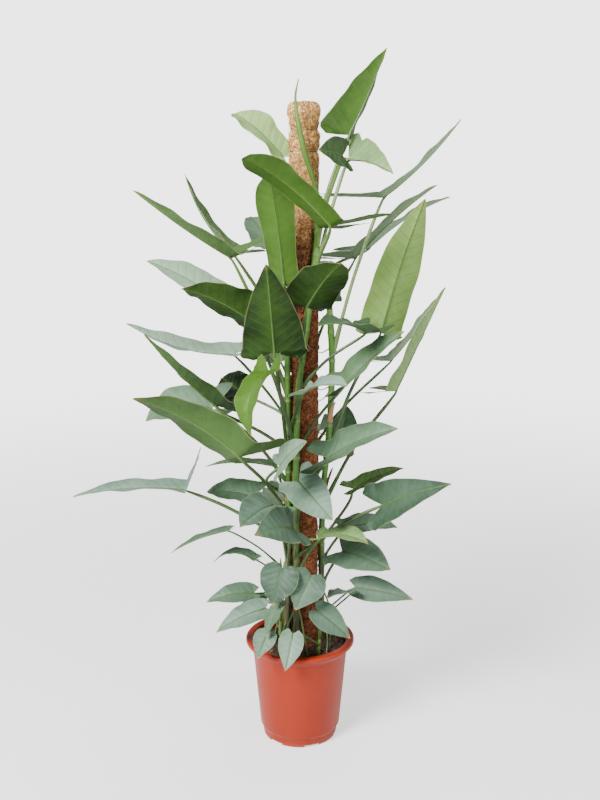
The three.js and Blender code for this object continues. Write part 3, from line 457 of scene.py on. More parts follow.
def smooth_step(low, high, value):
    share = min(max((value - low) / (high - low), 0), 1)
    return share * share * (3 - 2 * share)


def eased(low, high, leave, arrive, share):
    """A cubic run from one value to the next with the given slopes at its ends."""
    square, cube = share ** 2, share ** 3
    return (
        low * (2 * cube - 3 * square + 1) + leave * (cube - 2 * square + share)
        + high * (3 * square - 2 * cube) + arrive * (cube - square)
    )


def curve_through(points, samples=20):
    """A centripetal curve through the points, as a dense list of points."""
    ends = [points[0] * 2 - points[1], *points, points[-1] * 2 - points[-2]]
    dense = []
    for before, start, finish, after in zip(ends, ends[1:], ends[2:], ends[3:]):
        back = math.sqrt((start - before).length)
        here = math.sqrt((finish - start).length)
        ahead = math.sqrt((after - finish).length)
        run = (finish - start) / here
        leave = ((start - before) / back - (finish - before) / (back + here) + run) * here
        arrive = (run - (after - start) / (here + ahead) + (after - finish) / ahead) * here
        dense += [eased(start, finish, leave, arrive, step / samples) for step in range(samples)]
    return [*dense, points[-1]]


def evenly(dense, count):
    """The same route as count + 1 points at even distances."""
    reaches = [0.0]
    for start, finish in zip(dense, dense[1:]):
        reaches.append(reaches[-1] + (finish - start).length)
    route, index = [], 0
    for step in range(count + 1):
        reach = reaches[-1] * step / count
        while index < len(dense) - 2 and reaches[index + 1] < reach:
            index += 1
        span = max(reaches[index + 1] - reaches[index], 1e-9)
        route.append(dense[index].lerp(dense[index + 1], min((reach - reaches[index]) / span, 1)))
    return route


def stem_point(points, height):
    """Where a stem's middle line passes a height."""
    dense = curve_through([Vector(point) for point in points], 60)
    for start, finish in zip(dense, dense[1:]):
        if start.z <= height <= finish.z:
            return start.lerp(finish, (height - start.z) / (finish.z - start.z))
    return dense[-1]


# Making pieces
def clear_selection():
    if bpy.context.object and bpy.context.object.mode != "OBJECT":
        bpy.ops.object.mode_set(mode="OBJECT")
    bpy.ops.object.select_all(action="DESELECT")


def pick(*pieces):
    clear_selection()
    for piece in pieces:
        piece.select_set(True)
    bpy.context.view_layer.objects.active = pieces[0]


def joined(pieces, name):
    pick(*pieces)
    if len(pieces) > 1:
        bpy.ops.object.join()
    piece = bpy.context.object
    piece.name = name
    piece.data.name = name
    return piece


def copied(source):
    """A copy of the piece with a mesh of its own."""
    copy = source.copy()
    copy.data = source.data.copy()
    bpy.context.collection.objects.link(copy)
    return copy


def put_in_place(piece):
    pick(piece)
    bpy.ops.object.transform_apply(location=True, rotation=True, scale=True)


def apply_modifiers(piece):
    pick(piece)
    for modifier in list(piece.modifiers):
        bpy.ops.object.modifier_apply(modifier=modifier.name)


def smooth(piece, degrees):
    pick(piece)
    bpy.ops.object.shade_smooth_by_angle(angle=math.radians(degrees))


def hand_over(piece, slot, *nodes):
    """The finished piece rides on the plant's body and stands for its CAD nodes."""
    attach(piece, BODY)
    if nodes:
        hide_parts(*nodes)
    return piece


def set_materials(piece, *materials, index=None):
    piece.data.materials.clear()
    for material in materials:
        piece.data.materials.append(material)
    if index is not None:
        piece.data.polygons.foreach_set("material_index", [index] * len(piece.data.polygons))


def empty_path(name):
    clear_selection()
    bpy.ops.curve.primitive_nurbs_path_add()
    path = bpy.context.object
    path.name = name
    path.data.splines.clear()
    return path


def round_path(name, route, radii, sides=3):
    """A round stalk along a route with a radius at each point, made a mesh."""
    path = empty_path(name)
    add_spline(path.data, route, radii)
    return bevelled(path, sides)


def faced_outward():
    """Ends edit mode with every face outward."""
    bpy.ops.mesh.normals_make_consistent(inside=False)
    bpy.ops.object.mode_set(mode="OBJECT")


def add_spline(curve, route, radii):
    spline = curve.splines.new("POLY")
    spline.points.add(len(route) - 1)
    for point, place, radius in zip(spline.points, route, radii):
        point.co = (*(place * MM), 1)
        point.radius = radius


def bevelled(path, sides, depth=MM):
    path.data.bevel_depth = depth
    path.data.bevel_resolution = sides
    path.data.use_fill_caps = True
    pick(path)
    bpy.ops.object.convert(target="MESH")
    bpy.ops.object.mode_set(mode="EDIT")
    bpy.ops.mesh.select_all(action="SELECT")
    bpy.ops.mesh.remove_doubles(threshold=1e-6)
    faced_outward()
    return bpy.context.object


def drawn_outline(name, points):
    """An outline in the upright plane, extruded from corner to corner and ready to spin."""
    clear_selection()
    bpy.ops.mesh.primitive_plane_add(size=MM)
    piece = bpy.context.object
    piece.name = name
    places = [Vector((radius, 0, height)) * MM for radius, height in points]
    bpy.ops.object.mode_set(mode="EDIT")
    bpy.ops.mesh.select_all(action="SELECT")
    bpy.ops.mesh.merge(type="CENTER")
    bpy.ops.transform.translate(value=places[0])
    for start, finish in zip(places, places[1:]):
        bpy.ops.mesh.extrude_region_move(TRANSFORM_OT_translate={"value": finish - start})
    return piece


def spun(steps):
    """The outline turned once about the upright axis and closed."""
    bpy.ops.mesh.select_all(action="SELECT")
    bpy.ops.mesh.spin(steps=steps, angle=2 * math.pi, center=(0, 0, 0), axis=(0, 0, 1))
    bpy.ops.mesh.select_all(action="SELECT")
    bpy.ops.mesh.remove_doubles(threshold=1e-5)
    bpy.ops.mesh.dissolve_degenerate(threshold=1e-6)
    bpy.ops.mesh.select_all(action="SELECT")
    faced_outward()


def rounded(points, radius, steps=3):
    """The outline with each inner corner cut round by a small radius."""
    result = [points[0]]
    for before, corner, after in zip(points, points[1:], points[2:]):
        before, corner, after = Vector(before), Vector(corner), Vector(after)
        reach = min(radius, (before - corner).length * 0.45, (after - corner).length * 0.45)
        start = corner + (before - corner).normalized() * reach
        finish = corner + (after - corner).normalized() * reach
        for step in range(steps + 1):
            share = step / steps
            result.append(tuple(start.lerp(corner, share).lerp(corner.lerp(finish, share), share)))
    return [*result, points[-1]]


def finished(piece, slot, materials, degrees, *nodes):
    """Gives a piece its materials and smooth faces, where they are named, and hands it over."""
    if materials:
        set_materials(piece, *materials)
    if degrees:
        smooth(piece, degrees)
    hand_over(piece, slot, *nodes)


def write_attribute(piece, name, values):
    attribute = piece.data.attributes.get(name) or piece.data.attributes.new(name, "FLOAT", "POINT")
    attribute.data.foreach_set("value", values)


def vertex_places(piece):
    return [vertex.co / MM for vertex in piece.data.vertices]


# Materials
def new_material(name):
    material = bpy.data.materials.new(name)
    material.use_nodes = True
    return material, material.node_tree


def fill(tree, socket, value):
    """Links a socket to an output, or gives it a plain value."""
    if isinstance(value, bpy.types.NodeSocket):
        tree.links.new(value, socket)
    else:
        socket.default_value = value


def add_node(tree, kind, inputs=None, **values):
    node = tree.nodes.new(kind)
    for key, value in values.items():
        setattr(node, key, value)
    for key, value in (inputs or {}).items():
        fill(tree, node.inputs[key], value)
    return node


def math_node(tree, operation, first, second=0.0, clamp=False):
    inputs = {0: first, 1: second}
    return add_node(tree, "ShaderNodeMath", inputs, operation=operation, use_clamp=clamp).outputs[0]


def times(tree, first, second):
    return math_node(tree, "MULTIPLY", first, second)


def plus(tree, first, second, clamp=False):
    return math_node(tree, "ADD", first, second, clamp)


def mixed(tree, factor, low, high):
    low, high = (
        colour if isinstance(colour, bpy.types.NodeSocket) else (*colour, 1) for colour in (low, high)
    )
    return add_node(tree, "ShaderNodeMix", {0: factor, 6: low, 7: high}, data_type="RGBA").outputs[2]


def ranged(tree, value, from_low, from_high, to_low=0.0, to_high=1.0, soft=False):
    return add_node(
        tree, "ShaderNodeMapRange", {0: value, 1: from_low, 2: from_high, 3: to_low, 4: to_high},
        interpolation_type="SMOOTHSTEP" if soft else "LINEAR",
    ).outputs[0]


def height_above_floor(tree):
    return add_node(tree, "ShaderNodeSeparateXYZ", {0: object_place(tree)}).outputs["Z"]


def object_place(tree):
    return add_node(tree, "ShaderNodeTexCoord").outputs["Object"]


def attribute(tree, name):
    node = add_node(tree, "ShaderNodeAttribute", attribute_type="GEOMETRY", attribute_name=name)
    return node.outputs["Fac"]


def noise_value(tree, scale, detail=4.0, roughness=0.55, place=None):
    return add_node(
        tree, "ShaderNodeTexNoise",
        {"Vector": place or object_place(tree), "Scale": scale, "Detail": detail, "Roughness": roughness},
    ).outputs["Fac"]


def streaks(tree, scale, detail=4.0, roughness=0.55):
    """Noise stretched by a scale for each axis."""
    place = add_node(tree, "ShaderNodeMapping", {"Vector": object_place(tree), "Scale": scale}).outputs[0]
    return noise_value(tree, 1.0, detail, roughness, place)


def group_tree(name, inputs, outputs):
    """A shader node group with named float inputs and outputs."""
    tree = bpy.data.node_groups.new(name, "ShaderNodeTree")
    for label, default in inputs.items():
        socket = tree.interface.new_socket(label, in_out="INPUT", socket_type="NodeSocketFloat")
        socket.default_value = default
    for label in outputs:
        tree.interface.new_socket(label, in_out="OUTPUT", socket_type="NodeSocketFloat")
    return tree, tree.nodes.new("NodeGroupInput").outputs, tree.nodes.new("NodeGroupOutput").inputs


def mottle_group():
    """Two sizes of soft mottling in one mask, for plastic, soil, leaves, stems and aerial roots."""
    tree, entry, leave = group_tree("Mottle", {"Coarse": 8.0, "Fine": 60.0, "Share": 0.4}, ["Mask"])
    coarse = noise_value(tree, entry["Coarse"], 3.0)
    fine = noise_value(tree, entry["Fine"], 5.0)
    blend = add_node(tree, "ShaderNodeMix", {0: entry["Share"], 2: coarse, 3: fine}, data_type="FLOAT")
    tree.links.new(ranged(tree, blend.outputs[0], 0.32, 0.68), leave["Mask"])
    return tree


def mottled(tree, coarse, fine, share):
    group = bpy.data.node_groups.get("Mottle") or mottle_group()
    inputs = {"Coarse": coarse, "Fine": fine, "Share": share}
    return add_node(tree, "ShaderNodeGroup", inputs, node_tree=group).outputs["Mask"]


def vein_group():
    """Side veins, midrib and margin of a blade, read from what the mesh says of each point."""
    tree, entry, leave = group_tree(
        "Leaf Veins", {"Vein Width": 0.06, "Rib Width": 1.3}, ["Vein", "Rib", "Margin", "Height"],
    )
    wobble = ranged(tree, noise_value(tree, 30.0, 2.0), 0, 1, -0.12, 0.12)
    saw = math_node(tree, "FRACT", plus(tree, attribute(tree, "vein"), wobble))
    off = math_node(tree, "ABSOLUTE", math_node(tree, "SUBTRACT", saw, 0.5))
    vein_line = ranged(tree, off, 0.0, entry["Vein Width"], 1.0, 0.0, True)
    margin = attribute(tree, "margin")
    vein = times(tree, vein_line, ranged(tree, margin, 0.80, 0.96, 1.0, 0.0, True))
    rib_width = entry["Rib Width"]
    rib = ranged(tree, attribute(tree, "rib"), times(tree, rib_width, 0.6), rib_width, 1.0, 0.0, True)
    edge = ranged(tree, margin, 0.955, 0.985, 0.0, 1.0, True)
    fine = noise_value(tree, 260.0, 3.0)
    height = plus(tree, times(tree, fine, 0.1), times(tree, vein, -1.0))
    for label, value in (("Vein", vein), ("Rib", rib), ("Margin", edge), ("Height", height)):
        tree.links.new(value, leave[label])
    return tree


def surfaced(material, colour, mask, dull, bump=None, height=None, specular=None):
    """Ends a material: its colour, its roughness by a mask, and its bump as strength and distance."""
    tree = material.node_tree
    shader = tree.nodes["Principled BSDF"].inputs
    tree.links.new(colour, shader["Base Color"])
    tree.links.new(ranged(tree, mask, 0, 1, *dull), shader["Roughness"])
    if specular is not None:
        shader["Specular IOR Level"].default_value = specular
    if bump:
        inputs = {"Height": height or mask, "Strength": bump[0], "Distance": bump[1]}
        tree.links.new(add_node(tree, "ShaderNodeBump", inputs).outputs[0], shader["Normal"])
    return material


def grained(name, mask, low, high, dull, bump=None):
    """A material of two colours by one mask, which its function draws in the material's tree."""
    material, tree = new_material(name)
    drawn = mask(tree)
    return surfaced(material, mixed(tree, drawn, low, high), drawn, dull, bump)


def three_stops(tree, factor, low, middle, high):
    """A colour that runs through three stops."""
    node = add_node(tree, "ShaderNodeValToRGB", {0: factor})
    elements = node.color_ramp.elements
    elements.new(0.45)
    for element, colour in zip(elements, (low, middle, high)):
        element.color = (*colour, 1)
    return node.outputs["Color"]


def leaf_colour(tree, tone, bloom):
    """The colour of leaf tissue by its tone and its silvery bloom."""
    plant = bpy.context.scene.plant_foliage
    green = three_stops(tree, tone, plant.green_deep, plant.green_mid, plant.green_pale)
    silver = three_stops(tree, tone, plant.silver_deep, plant.silver_mid, plant.silver_pale)
    return mixed(tree, bloom, green, silver)


def blade_material(name, tone_shift, bloom_share, roughness):
    """One side of a blade: tone by leaf, mottling, veins, midrib and a thin pale margin."""
    plant = bpy.context.scene.plant_foliage
    material, tree = new_material(name)
    group = bpy.data.node_groups.get("Leaf Veins") or vein_group()
    veins = add_node(tree, "ShaderNodeGroup", {"Vein Width": 0.07, "Rib Width": 2.2}, node_tree=group).outputs
    mottle = mottled(tree, 9.0, 60.0, 0.35)
    drift = ranged(tree, mottle, 0, 1, tone_shift - 0.11, tone_shift + 0.11)
    inland = ranged(tree, attribute(tree, "margin"), 0.1, 0.95, 0.05, -0.06)
    tone = plus(tree, plus(tree, attribute(tree, "tone"), drift), inland, clamp=True)
    bloom = times(tree, attribute(tree, "bloom"), bloom_share)
    base = leaf_colour(tree, tone, bloom)
    vein_colour = leaf_colour(tree, ranged(tree, tone, 0.0, 1.0, 0.34, 0.44), times(tree, bloom, 0.6))
    with_veins = mixed(tree, times(tree, veins["Vein"], 0.5), base, vein_colour)
    with_rib = mixed(tree, times(tree, veins["Rib"], 0.75), with_veins, vein_colour)
    edged = mixed(tree, times(tree, veins["Margin"], 0.28), with_rib, plant.margin)
    colour = mixed(tree, attribute(tree, "tip"), edged, plant.dry_tip)
    dull = roughness - 0.06, roughness + 0.06
    return surfaced(material, colour, mottle, dull, (0.3, 0.0006), veins["Height"], 0.18)


def leaf_materials():
    """Upper side, underside and stalk, made at their first use."""
    sides = {"Leaf upper side": (-0.02, 1.0, 0.46), "Leaf underside": (0.04, 0.75, 0.55)}
    made = [bpy.data.materials.get(name) or blade_material(name, *look) for name, look in sides.items()]
    return *made, stalk_material()


def stalk_material(name="Leaf stalk"):
    if name in bpy.data.materials:
        return bpy.data.materials[name]
    material, tree = new_material(name)
    stripes = streaks(tree, (260, 260, 9), 3.0)
    tone = plus(tree, attribute(tree, "tone"), ranged(tree, stripes, 0.3, 0.7, -0.1, 0.1), clamp=True)
    colour = three_stops(tree, tone, (0.016, 0.042, 0.006), (0.075, 0.15, 0.022), (0.25, 0.34, 0.13))
    return surfaced(material, colour, stripes, (0.34, 0.5), (0.3, 0.0005))


def stem_material():
    plant = bpy.context.scene.plant_foliage
    material, tree = new_material("Climbing stem")
    mottle = mottled(tree, 22.0, 140.0, 0.4)
    height = height_above_floor(tree)
    grown = mixed(tree, mottle, plant.stem, [channel * 1.9 for channel in plant.stem])
    base = mixed(tree, ranged(tree, height, 0.7, 1.1, 0.0, 0.8, True), grown, plant.stem_tip)
    colour = mixed(tree, attribute(tree, "ring"), base, plant.stem_ring)
    woody = ranged(tree, plus(tree, attribute(tree, "age"), mottle), 0.5, 1.4, 0.0, 0.9)
    aged = mixed(tree, woody, colour, (0.055, 0.036, 0.016))
    return surfaced(material, aged, mottle, (0.34, 0.52), (0.35, 0.0008))


def plastic_material():
    pot = bpy.context.scene.plant_pot
    material, tree = new_material("Terracotta plastic")
    mottle = mottled(tree, 6.0, 90.0, 0.25)
    wear = times(tree, mottle, ranged(tree, streaks(tree, (26, 26, 1.6), 3.0), 0.35, 0.65))
    colour = mixed(tree, wear, pot.colour, pot.shade)
    foot_dust = times(tree, ranged(tree, height_above_floor(tree), 0.0, 0.012, 0.25, 0.0, True), mottle)
    dusty = mixed(tree, foot_dust, colour, (0.42, 0.24, 0.17))
    pores = noise_value(tree, 900.0, 2.0)
    return surfaced(material, dusty, mottle, (0.33, 0.45), (0.12, 0.0003), pores, 0.25)


def soil_material():
    pot = bpy.context.scene.plant_pot
    material, tree = new_material("Potting soil")
    mottle = mottled(tree, 60.0, 320.0, 0.5)
    flecks = ranged(tree, noise_value(tree, 420.0, 2.0), 0.62, 0.70)
    base = mixed(tree, mottle, pot.soil, [channel * 2.6 for channel in pot.soil])
    colour = mixed(tree, times(tree, flecks, 0.7), base, pot.bark)
    return surfaced(material, colour, mottle, (0.8, 0.98), (0.8, 0.002))


def coir_material(name, lift):
    """Matted coir, dry and tan at the pole's top, damp and reddish lower down, and darker there partly as
    painted shade among the leaves.
    """
    pole = bpy.context.scene.plant_pole
    material, tree = new_material(name)
    patches = ranged(tree, noise_value(tree, 16.0, 3.0), 0, 1, -0.16, 0.16)
    level = plus(tree, height_above_floor(tree), patches)
    # Drier and lighter towards the top; lower down the coir is darker, partly as painted shade among the
    # leaves.
    dry_and_lit_share = ranged(tree, level, 0.96, 1.27, 0.0, 1.0, True)
    fibre = streaks(tree, (250, 250, 190), 5.0, 0.7)
    tuft = ranged(tree, noise_value(tree, 75.0, 3.0), 0.3, 0.7, -0.07, 0.07)
    strand = ranged(tree, plus(tree, fibre, tuft), 0.4, 0.6)
    base = mixed(tree, dry_and_lit_share, pole.damp, pole.dry)
    # The dark gaps between strands are painted shade, and the paler lifted strands are partly painted
    # highlight.
    shaded_gaps = mixed(tree, 0.75, base, (0.022, 0.008, 0.004))
    light = mixed(tree, lift, base, mixed(tree, dry_and_lit_share, (0.42, 0.16, 0.07), (0.95, 0.56, 0.24)))
    colour = mixed(tree, strand, shaded_gaps, light)
    return surfaced(material, colour, fibre, (0.75, 0.98), (0.9, 0.0025), strand, 0.1)


def floor_material():
    """A pale floor that fades into the white surround away from the plant, glowing there; near the plant it
    glows a little too, as painted light that pales the plant's shadow.
    """
    stage = bpy.context.scene.plant_stage
    material, tree = new_material("Studio floor")
    shader = tree.nodes["Principled BSDF"].inputs
    reach = add_node(tree, "ShaderNodeVectorMath", {0: object_place(tree)}, operation="LENGTH")
    # A little glow near the plant is painted light over its shadow; farther out the floor glows fully.
    floor_glow_share = ranged(tree, reach.outputs["Value"], 0.4, 4.0, 0.26, 1.0, True)
    black, white = (0, 0, 0), (1, 1, 1)
    tree.links.new(mixed(tree, floor_glow_share, stage.floor, black), shader["Base Color"])
    tree.links.new(mixed(tree, floor_glow_share, black, white), shader["Emission Color"])
    tree.links.new(times(tree, surround_share(tree, stage), stage.glow), shader["Emission Strength"])
    shader["Roughness"].default_value = 0.75
    shader["Specular IOR Level"].default_value = 0.0
    return material


# Pot
POT_OUTLINE = [
    (0, 0), (FLOOR_DISC_RADIUS, 0), (FLOOR_DISC_RADIUS + CHANNEL_SLOPE, CHANNEL_HEIGHT),
    (FOOT_RADIUS - FOOT_WIDTH, CHANNEL_HEIGHT), (FOOT_RADIUS - FOOT_WIDTH, 0), (FOOT_RADIUS, 0),
    (82, 3), (83.8, 20), (88.5, 26), (96.5, 116), (104.5, 206), (109, 214.5), (RIM_RADIUS, 220),
    (RIM_RADIUS, 227), (117, 230), (104, 229), (102.3, 206), (86.3, 30), (82.4, 22.5),
    (80.2, CHANNEL_HEIGHT + POT_WALL),
    (FLOOR_DISC_RADIUS + CHANNEL_SLOPE + 0.5, CHANNEL_HEIGHT + POT_WALL),
    (FLOOR_DISC_RADIUS + 0.5, POT_WALL), (0, POT_WALL),
]
POT_CORNER = 2.2


def cut_with(piece, cutter):
    """Cuts the cutter's shape out of the piece, and removes the cutter."""
    modifier = piece.modifiers.new("Cut", "BOOLEAN")
    modifier.operation = "DIFFERENCE"
    modifier.solver = "EXACT"
    modifier.object = cutter
    apply_modifiers(piece)
    bpy.data.objects.remove(cutter)


def on_ring(radius, bearing, height=0):
    place = Vector((math.cos(bearing), math.sin(bearing), 0)) * radius * MM
    place.z = height * MM
    return place


def notch_cutter(bearing):
    clear_selection()
    place = on_ring(FOOT_RADIUS, bearing)
    bpy.ops.mesh.primitive_cube_add(size=1, location=place, rotation=(0, 0, bearing))
    cutter = bpy.context.object
    cutter.scale = Vector(NOTCH_SIZE) * MM
    put_in_place(cutter)
    bevel = cutter.modifiers.new("Round corners", "BEVEL")
    bevel.width = POT_CORNER * MM
    bevel.segments = 3
    apply_modifiers(cutter)
    return cutter


def drain_cutter(bearing):
    clear_selection()
    place = on_ring(DRAIN_RING_RADIUS, bearing, CHANNEL_HEIGHT + POT_WALL / 2)
    bpy.ops.mesh.primitive_cylinder_add(
        vertices=24, radius=DRAIN_HOLE_RADIUS * MM, depth=4 * POT_WALL * MM, location=place,
    )
    put_in_place(bpy.context.object)
    return bpy.context.object


class PLANT_OT_pot(Operator):
    """Make the nursery pot: a spun shell with a rolled rim, foot notches and drain holes."""

    bl_idname = "plant.pot"
    bl_label = "Nursery Pot"

    def execute(self, context):
        pot = drawn_outline("nursery_pot", rounded(POT_OUTLINE, POT_CORNER))
        spun(context.scene.plant_pot.turn_steps)
        for notch in range(NOTCHES):
            bearing = NOTCH_BEARING + notch * 2 * math.pi / NOTCHES
            cut_with(pot, notch_cutter(bearing))
            cut_with(pot, drain_cutter(bearing))
        finished(pot, "pot", [plastic_material()], 35, "pot")
        return {"FINISHED"}


# Soil
def soil_height(x, y):
    ripple = math.sin(x * 0.13 + 1.7) * math.cos(y * 0.11 - 0.6) + 0.5 * math.sin((x + y) * 0.21)
    lumps = noise.fractal(Vector((x, y, 0)) * 0.09, 0.8, 2.1, 4)
    return SOIL_LEVEL + 3 * ripple + 2.2 * lumps


def soil_body():
    """A disc of crumbly ground over a plain plug that fills the pot."""
    clear_selection()
    bpy.ops.mesh.primitive_grid_add(x_subdivisions=SOIL_STEPS, y_subdivisions=SOIL_STEPS, size=2)
    piece = bpy.context.object
    piece.name = "potting_soil"
    for vertex in piece.data.vertices:
        x, y = vertex.co.x, vertex.co.y
        flat = Vector((x * math.sqrt(1 - y * y / 2), y * math.sqrt(1 - x * x / 2)))
        place = flat * SOIL_RADIUS
        level = mix(soil_height(place.x, place.y), SOIL_EDGE, smooth_step(0.93, 1.0, flat.length))
        vertex.co = Vector((place.x, place.y, level)) * MM
    bpy.ops.object.mode_set(mode="EDIT")
    bpy.ops.mesh.select_all(action="SELECT")
    down = (0, 0, -(SOIL_EDGE - PLUG_BOTTOM) * MM)
    bpy.ops.mesh.extrude_region_move(TRANSFORM_OT_translate={"value": down})
    faced_outward()
    for vertex in piece.data.vertices:
        if vertex.co.z < 2 * PLUG_BOTTOM * MM:
            x, y = vertex.co.x * PLUG_RADIUS / SOIL_RADIUS, vertex.co.y * PLUG_RADIUS / SOIL_RADIUS
            vertex.co = Vector((x, y, PLUG_BOTTOM * MM))
    return piece


def soil_crumbs(count):
    """Bark chips and crumbs, copied from two small lumps and pressed into the ground."""
    draw = random.Random(CRUMB_SEED)
    clear_selection()
    bpy.ops.mesh.primitive_ico_sphere_add(subdivisions=1, radius=1)
    crumb = bpy.context.object
    bpy.ops.mesh.primitive_cube_add(size=1.6)
    chip = bpy.context.object
    copies = []
    for _ in range(count):
        copy = copied(chip if draw.random() < CHIP_SHARE else crumb)
        reach = CRUMB_REACH * math.sqrt(draw.random())
        turn = draw.uniform(0, 2 * math.pi)
        x, y = reach * math.cos(turn), reach * math.sin(turn)
        size = draw.uniform(1.0, 2.9)
        stretch = (draw.uniform(0.8, 2.4), draw.uniform(0.7, 1.2), draw.uniform(0.35, 0.8))
        for vertex in copy.data.vertices:
            vertex.co = vertex.co * draw.uniform(0.75, 1.15)
        copy.scale = Vector(stretch) * size * MM
        copy.rotation_euler = (draw.uniform(-0.6, 0.6), draw.uniform(-0.6, 0.6), turn)
        copy.location = Vector((x, y, soil_height(x, y) + size * 0.25)) * MM
        if reach > CRUMB_EDGE:
            copy.location.z = (SOIL_EDGE + 1) * MM
        copies.append(copy)
    for source in (crumb, chip):
        bpy.data.objects.remove(source)
    crumbs = joined(copies, "soil_crumbs")
    put_in_place(crumbs)
    return crumbs


class PLANT_OT_soil(Operator):
    """Make the soil with its crumbs and bark chips."""

    bl_idname = "plant.soil"
    bl_label = "Soil"

    def execute(self, context):
        pot = context.scene.plant_pot
        finished(soil_body(), "soil", [soil_material()], 50, "soil")
        chips = grained(
            "Bark chips", lambda tree: streaks(tree, (300, 90, 300)), pot.soil,
            [channel * 1.3 for channel in pot.bark], (0.65, 0.9), (0.6, 0.001),
        )
        finished(soil_crumbs(pot.crumbs), "soil", [chips], None)
        return {"FINISHED"}


# Pole
def coir_radius(height):
    """The wrapping is a little uneven, and twine draws it in at each waist."""
    drawn = sum(WAIST_DEPTH * math.exp(-((height - waist) / WAIST_REACH) ** 2) for waist in WAISTS)
    return POLE_RADIUS + (math.sin(height * 0.045) - 1) * 0.6 - drawn


def coir_bulge(place):
    """How far matted lumps and tufts stand out of the wrapping at a place, in millimetres."""
    lumps = noise.noise(place * 0.04) * 2.2
    tufts = noise.fractal(place * 0.13, 0.6, 2.2, 4) * 2.2
    return lumps + tufts


def coir_body():
    heights = range(COIR_BOTTOM, COIR_CROWN[0][1], COIR_STEP)
    outline = [(0, COIR_BOTTOM)] + [(coir_radius(height), height) for height in heights] + COIR_CROWN
    piece = drawn_outline("coir_wrapping", outline)
    spun(COIR_SIDES)
    for vertex in piece.data.vertices:
        place = vertex.co / MM
        out = Vector((place.x, place.y, 0))
        if out.length > 1:
            low = smooth_step(COIR_BOTTOM, COIR_BOTTOM + 20, place.z)
            place += out.normalized() * coir_bulge(place) * low
        if place.z > POLE_TOP - 40:
            place.z += coir_bulge(place + Vector((50, 0, 0))) * 0.6 - 0.8
        vertex.co = (place + Vector((POLE_X, 0, 0))) * MM
    return piece


def coir_fibres(count, radius):
    """Loose fibres that curl out of the wrapping, each a thin bent thread."""
    draw = random.Random(FIBRE_SEED)
    path = empty_path("coir_fibres")
    for _ in range(count):
        height = draw.uniform(SOIL_LEVEL, POLE_TOP - 4)
        turn = draw.uniform(0, 2 * math.pi)
        on_side = height < POLE_TOP - 20
        reach = coir_radius(height) if on_side else draw.uniform(12, 29)
        heading = draw.uniform(-math.pi, math.pi)
        length = draw.uniform(5, 15)
        lift = draw.uniform(0.15, 0.55)
        route = []
        for step in range(4):
            gone = length * step / 3
            angle = turn + math.cos(heading) * gone / POLE_RADIUS
            out = reach - 0.4 + lift * gone * (1 - 0.16 * step)
            level = height + math.sin(heading) * gone
            if not on_side:
                level = min(POLE_TOP - 2 + lift * gone * 0.5, POLE_TOP + 3)
            route.append(Vector((POLE_X + out * math.cos(angle), out * math.sin(angle), level)))
        add_spline(path.data, route, [1, 1, 0.8, 0.4])
    return bevelled(path, 0, radius)


def tie(height, radius, draw):
    """A turn of twine round a waist, with its two short ends."""
    route = []
    slant = draw.uniform(-3, 3)
    start = draw.uniform(0, 2 * math.pi)
    for step in range(TIE_STEPS + 4):
        angle = start + 2 * math.pi * step / TIE_STEPS
        reach = coir_radius(height) + 0.7 + (0.8 if step > TIE_STEPS - 2 else 0)
        lift = slant * math.sin(angle) + draw.uniform(-0.3, 0.3) + (1.6 if step > TIE_STEPS else 0)
        route.append(Vector((POLE_X + reach * math.cos(angle), reach * math.sin(angle), height + lift)))
    return round_path("tie", route, [radius / MM] * len(route), 1)


class PLANT_OT_pole(Operator):
    """Make the coir pole: its matted wrapping, loose fibres and twine ties round the stick."""

    bl_idname = "plant.pole"
    bl_label = "Coir Pole"

    def execute(self, context):
        pole = context.scene.plant_pole
        finished(coir_body(), "coir", [coir_material("Matted coir", 0.3)], 80, "pole_coir")
        fibres = coir_fibres(pole.fibres, pole.fibre_radius)
        finished(fibres, "coir", [coir_material("Coir fibre", 0.55)], None)
        draw = random.Random(TIE_SEED)
        ties = joined([tie(waist, pole.tie_radius, draw) for waist in WAISTS], "pole_ties")
        twine = grained(
            "Tie twine", lambda tree: noise_value(tree, 700.0, 3.0),
            (0.02, 0.010, 0.006), (0.09, 0.045, 0.02), (0.6, 0.85), (0.6, 0.0006),
        )
        finished(ties, "coir", [twine], 80)
        wood = grained(
            "Pole stick wood", lambda tree: streaks(tree, (180, 180, 8)),
            (0.20, 0.10, 0.04), (0.34, 0.2, 0.09), (0.6, 0.8), (0.4, 0.001),
        )
        set_materials(frame["nodes"]["pole_stick"], wood)
        return {"FINISHED"}


# Climbing stems
def ring_heights(stem, points):
    """A scar ring under each leaf, and more where the leaves stand far apart."""
    heights = sorted(leaf["at"] - 9 for leaf in LEAVES if leaf["stem"] == stem)
    low, high = points[0][2] + 90, points[-1][2] - 12
    rings = [height for height in heights if low < height < high]
    ends = [low, *rings, high]
    for start, finish in zip(ends, ends[1:]):
        extra = int((finish - start) // RING_SPACING)
        rings += [mix(start, finish, (step + 1) / (extra + 1)) for step in range(extra)]
    return sorted(rings)


def stem_body(name, points, radius, rings):
    """One stem with a swollen scar ring at each node and a round tip."""
    dense = curve_through([Vector(point) for point in points], 40)
    length = sum((finish - start).length for start, finish in zip(dense, dense[1:]))
    route = evenly(dense, int(length / STEM_STEP))
    radii = []
    for place in route:
        swell = sum(math.exp(-((place.z - ring) / RING_REACH) ** 2) for ring in rings)
        thin = 0.93 + 0.04 * math.sin(place.z * 0.05)
        tip = smooth_step(0, 26, route[-1].z - place.z)
        radii.append(radius * (thin + RING_SWELL * swell) * mix(0.25, 1, math.sqrt(tip)))
    piece = round_path(name, route, radii, 5)
    heights = [place.z for place in vertex_places(piece)]
    near = [sum(math.exp(-((height - ring - 1) / RING_BAND) ** 2) for ring in rings) for height in heights]
    write_attribute(piece, "ring", [min(1, share) for share in near])
    write_attribute(piece, "age", [1 - smooth_step(230, 620, height) for height in heights])
    return piece


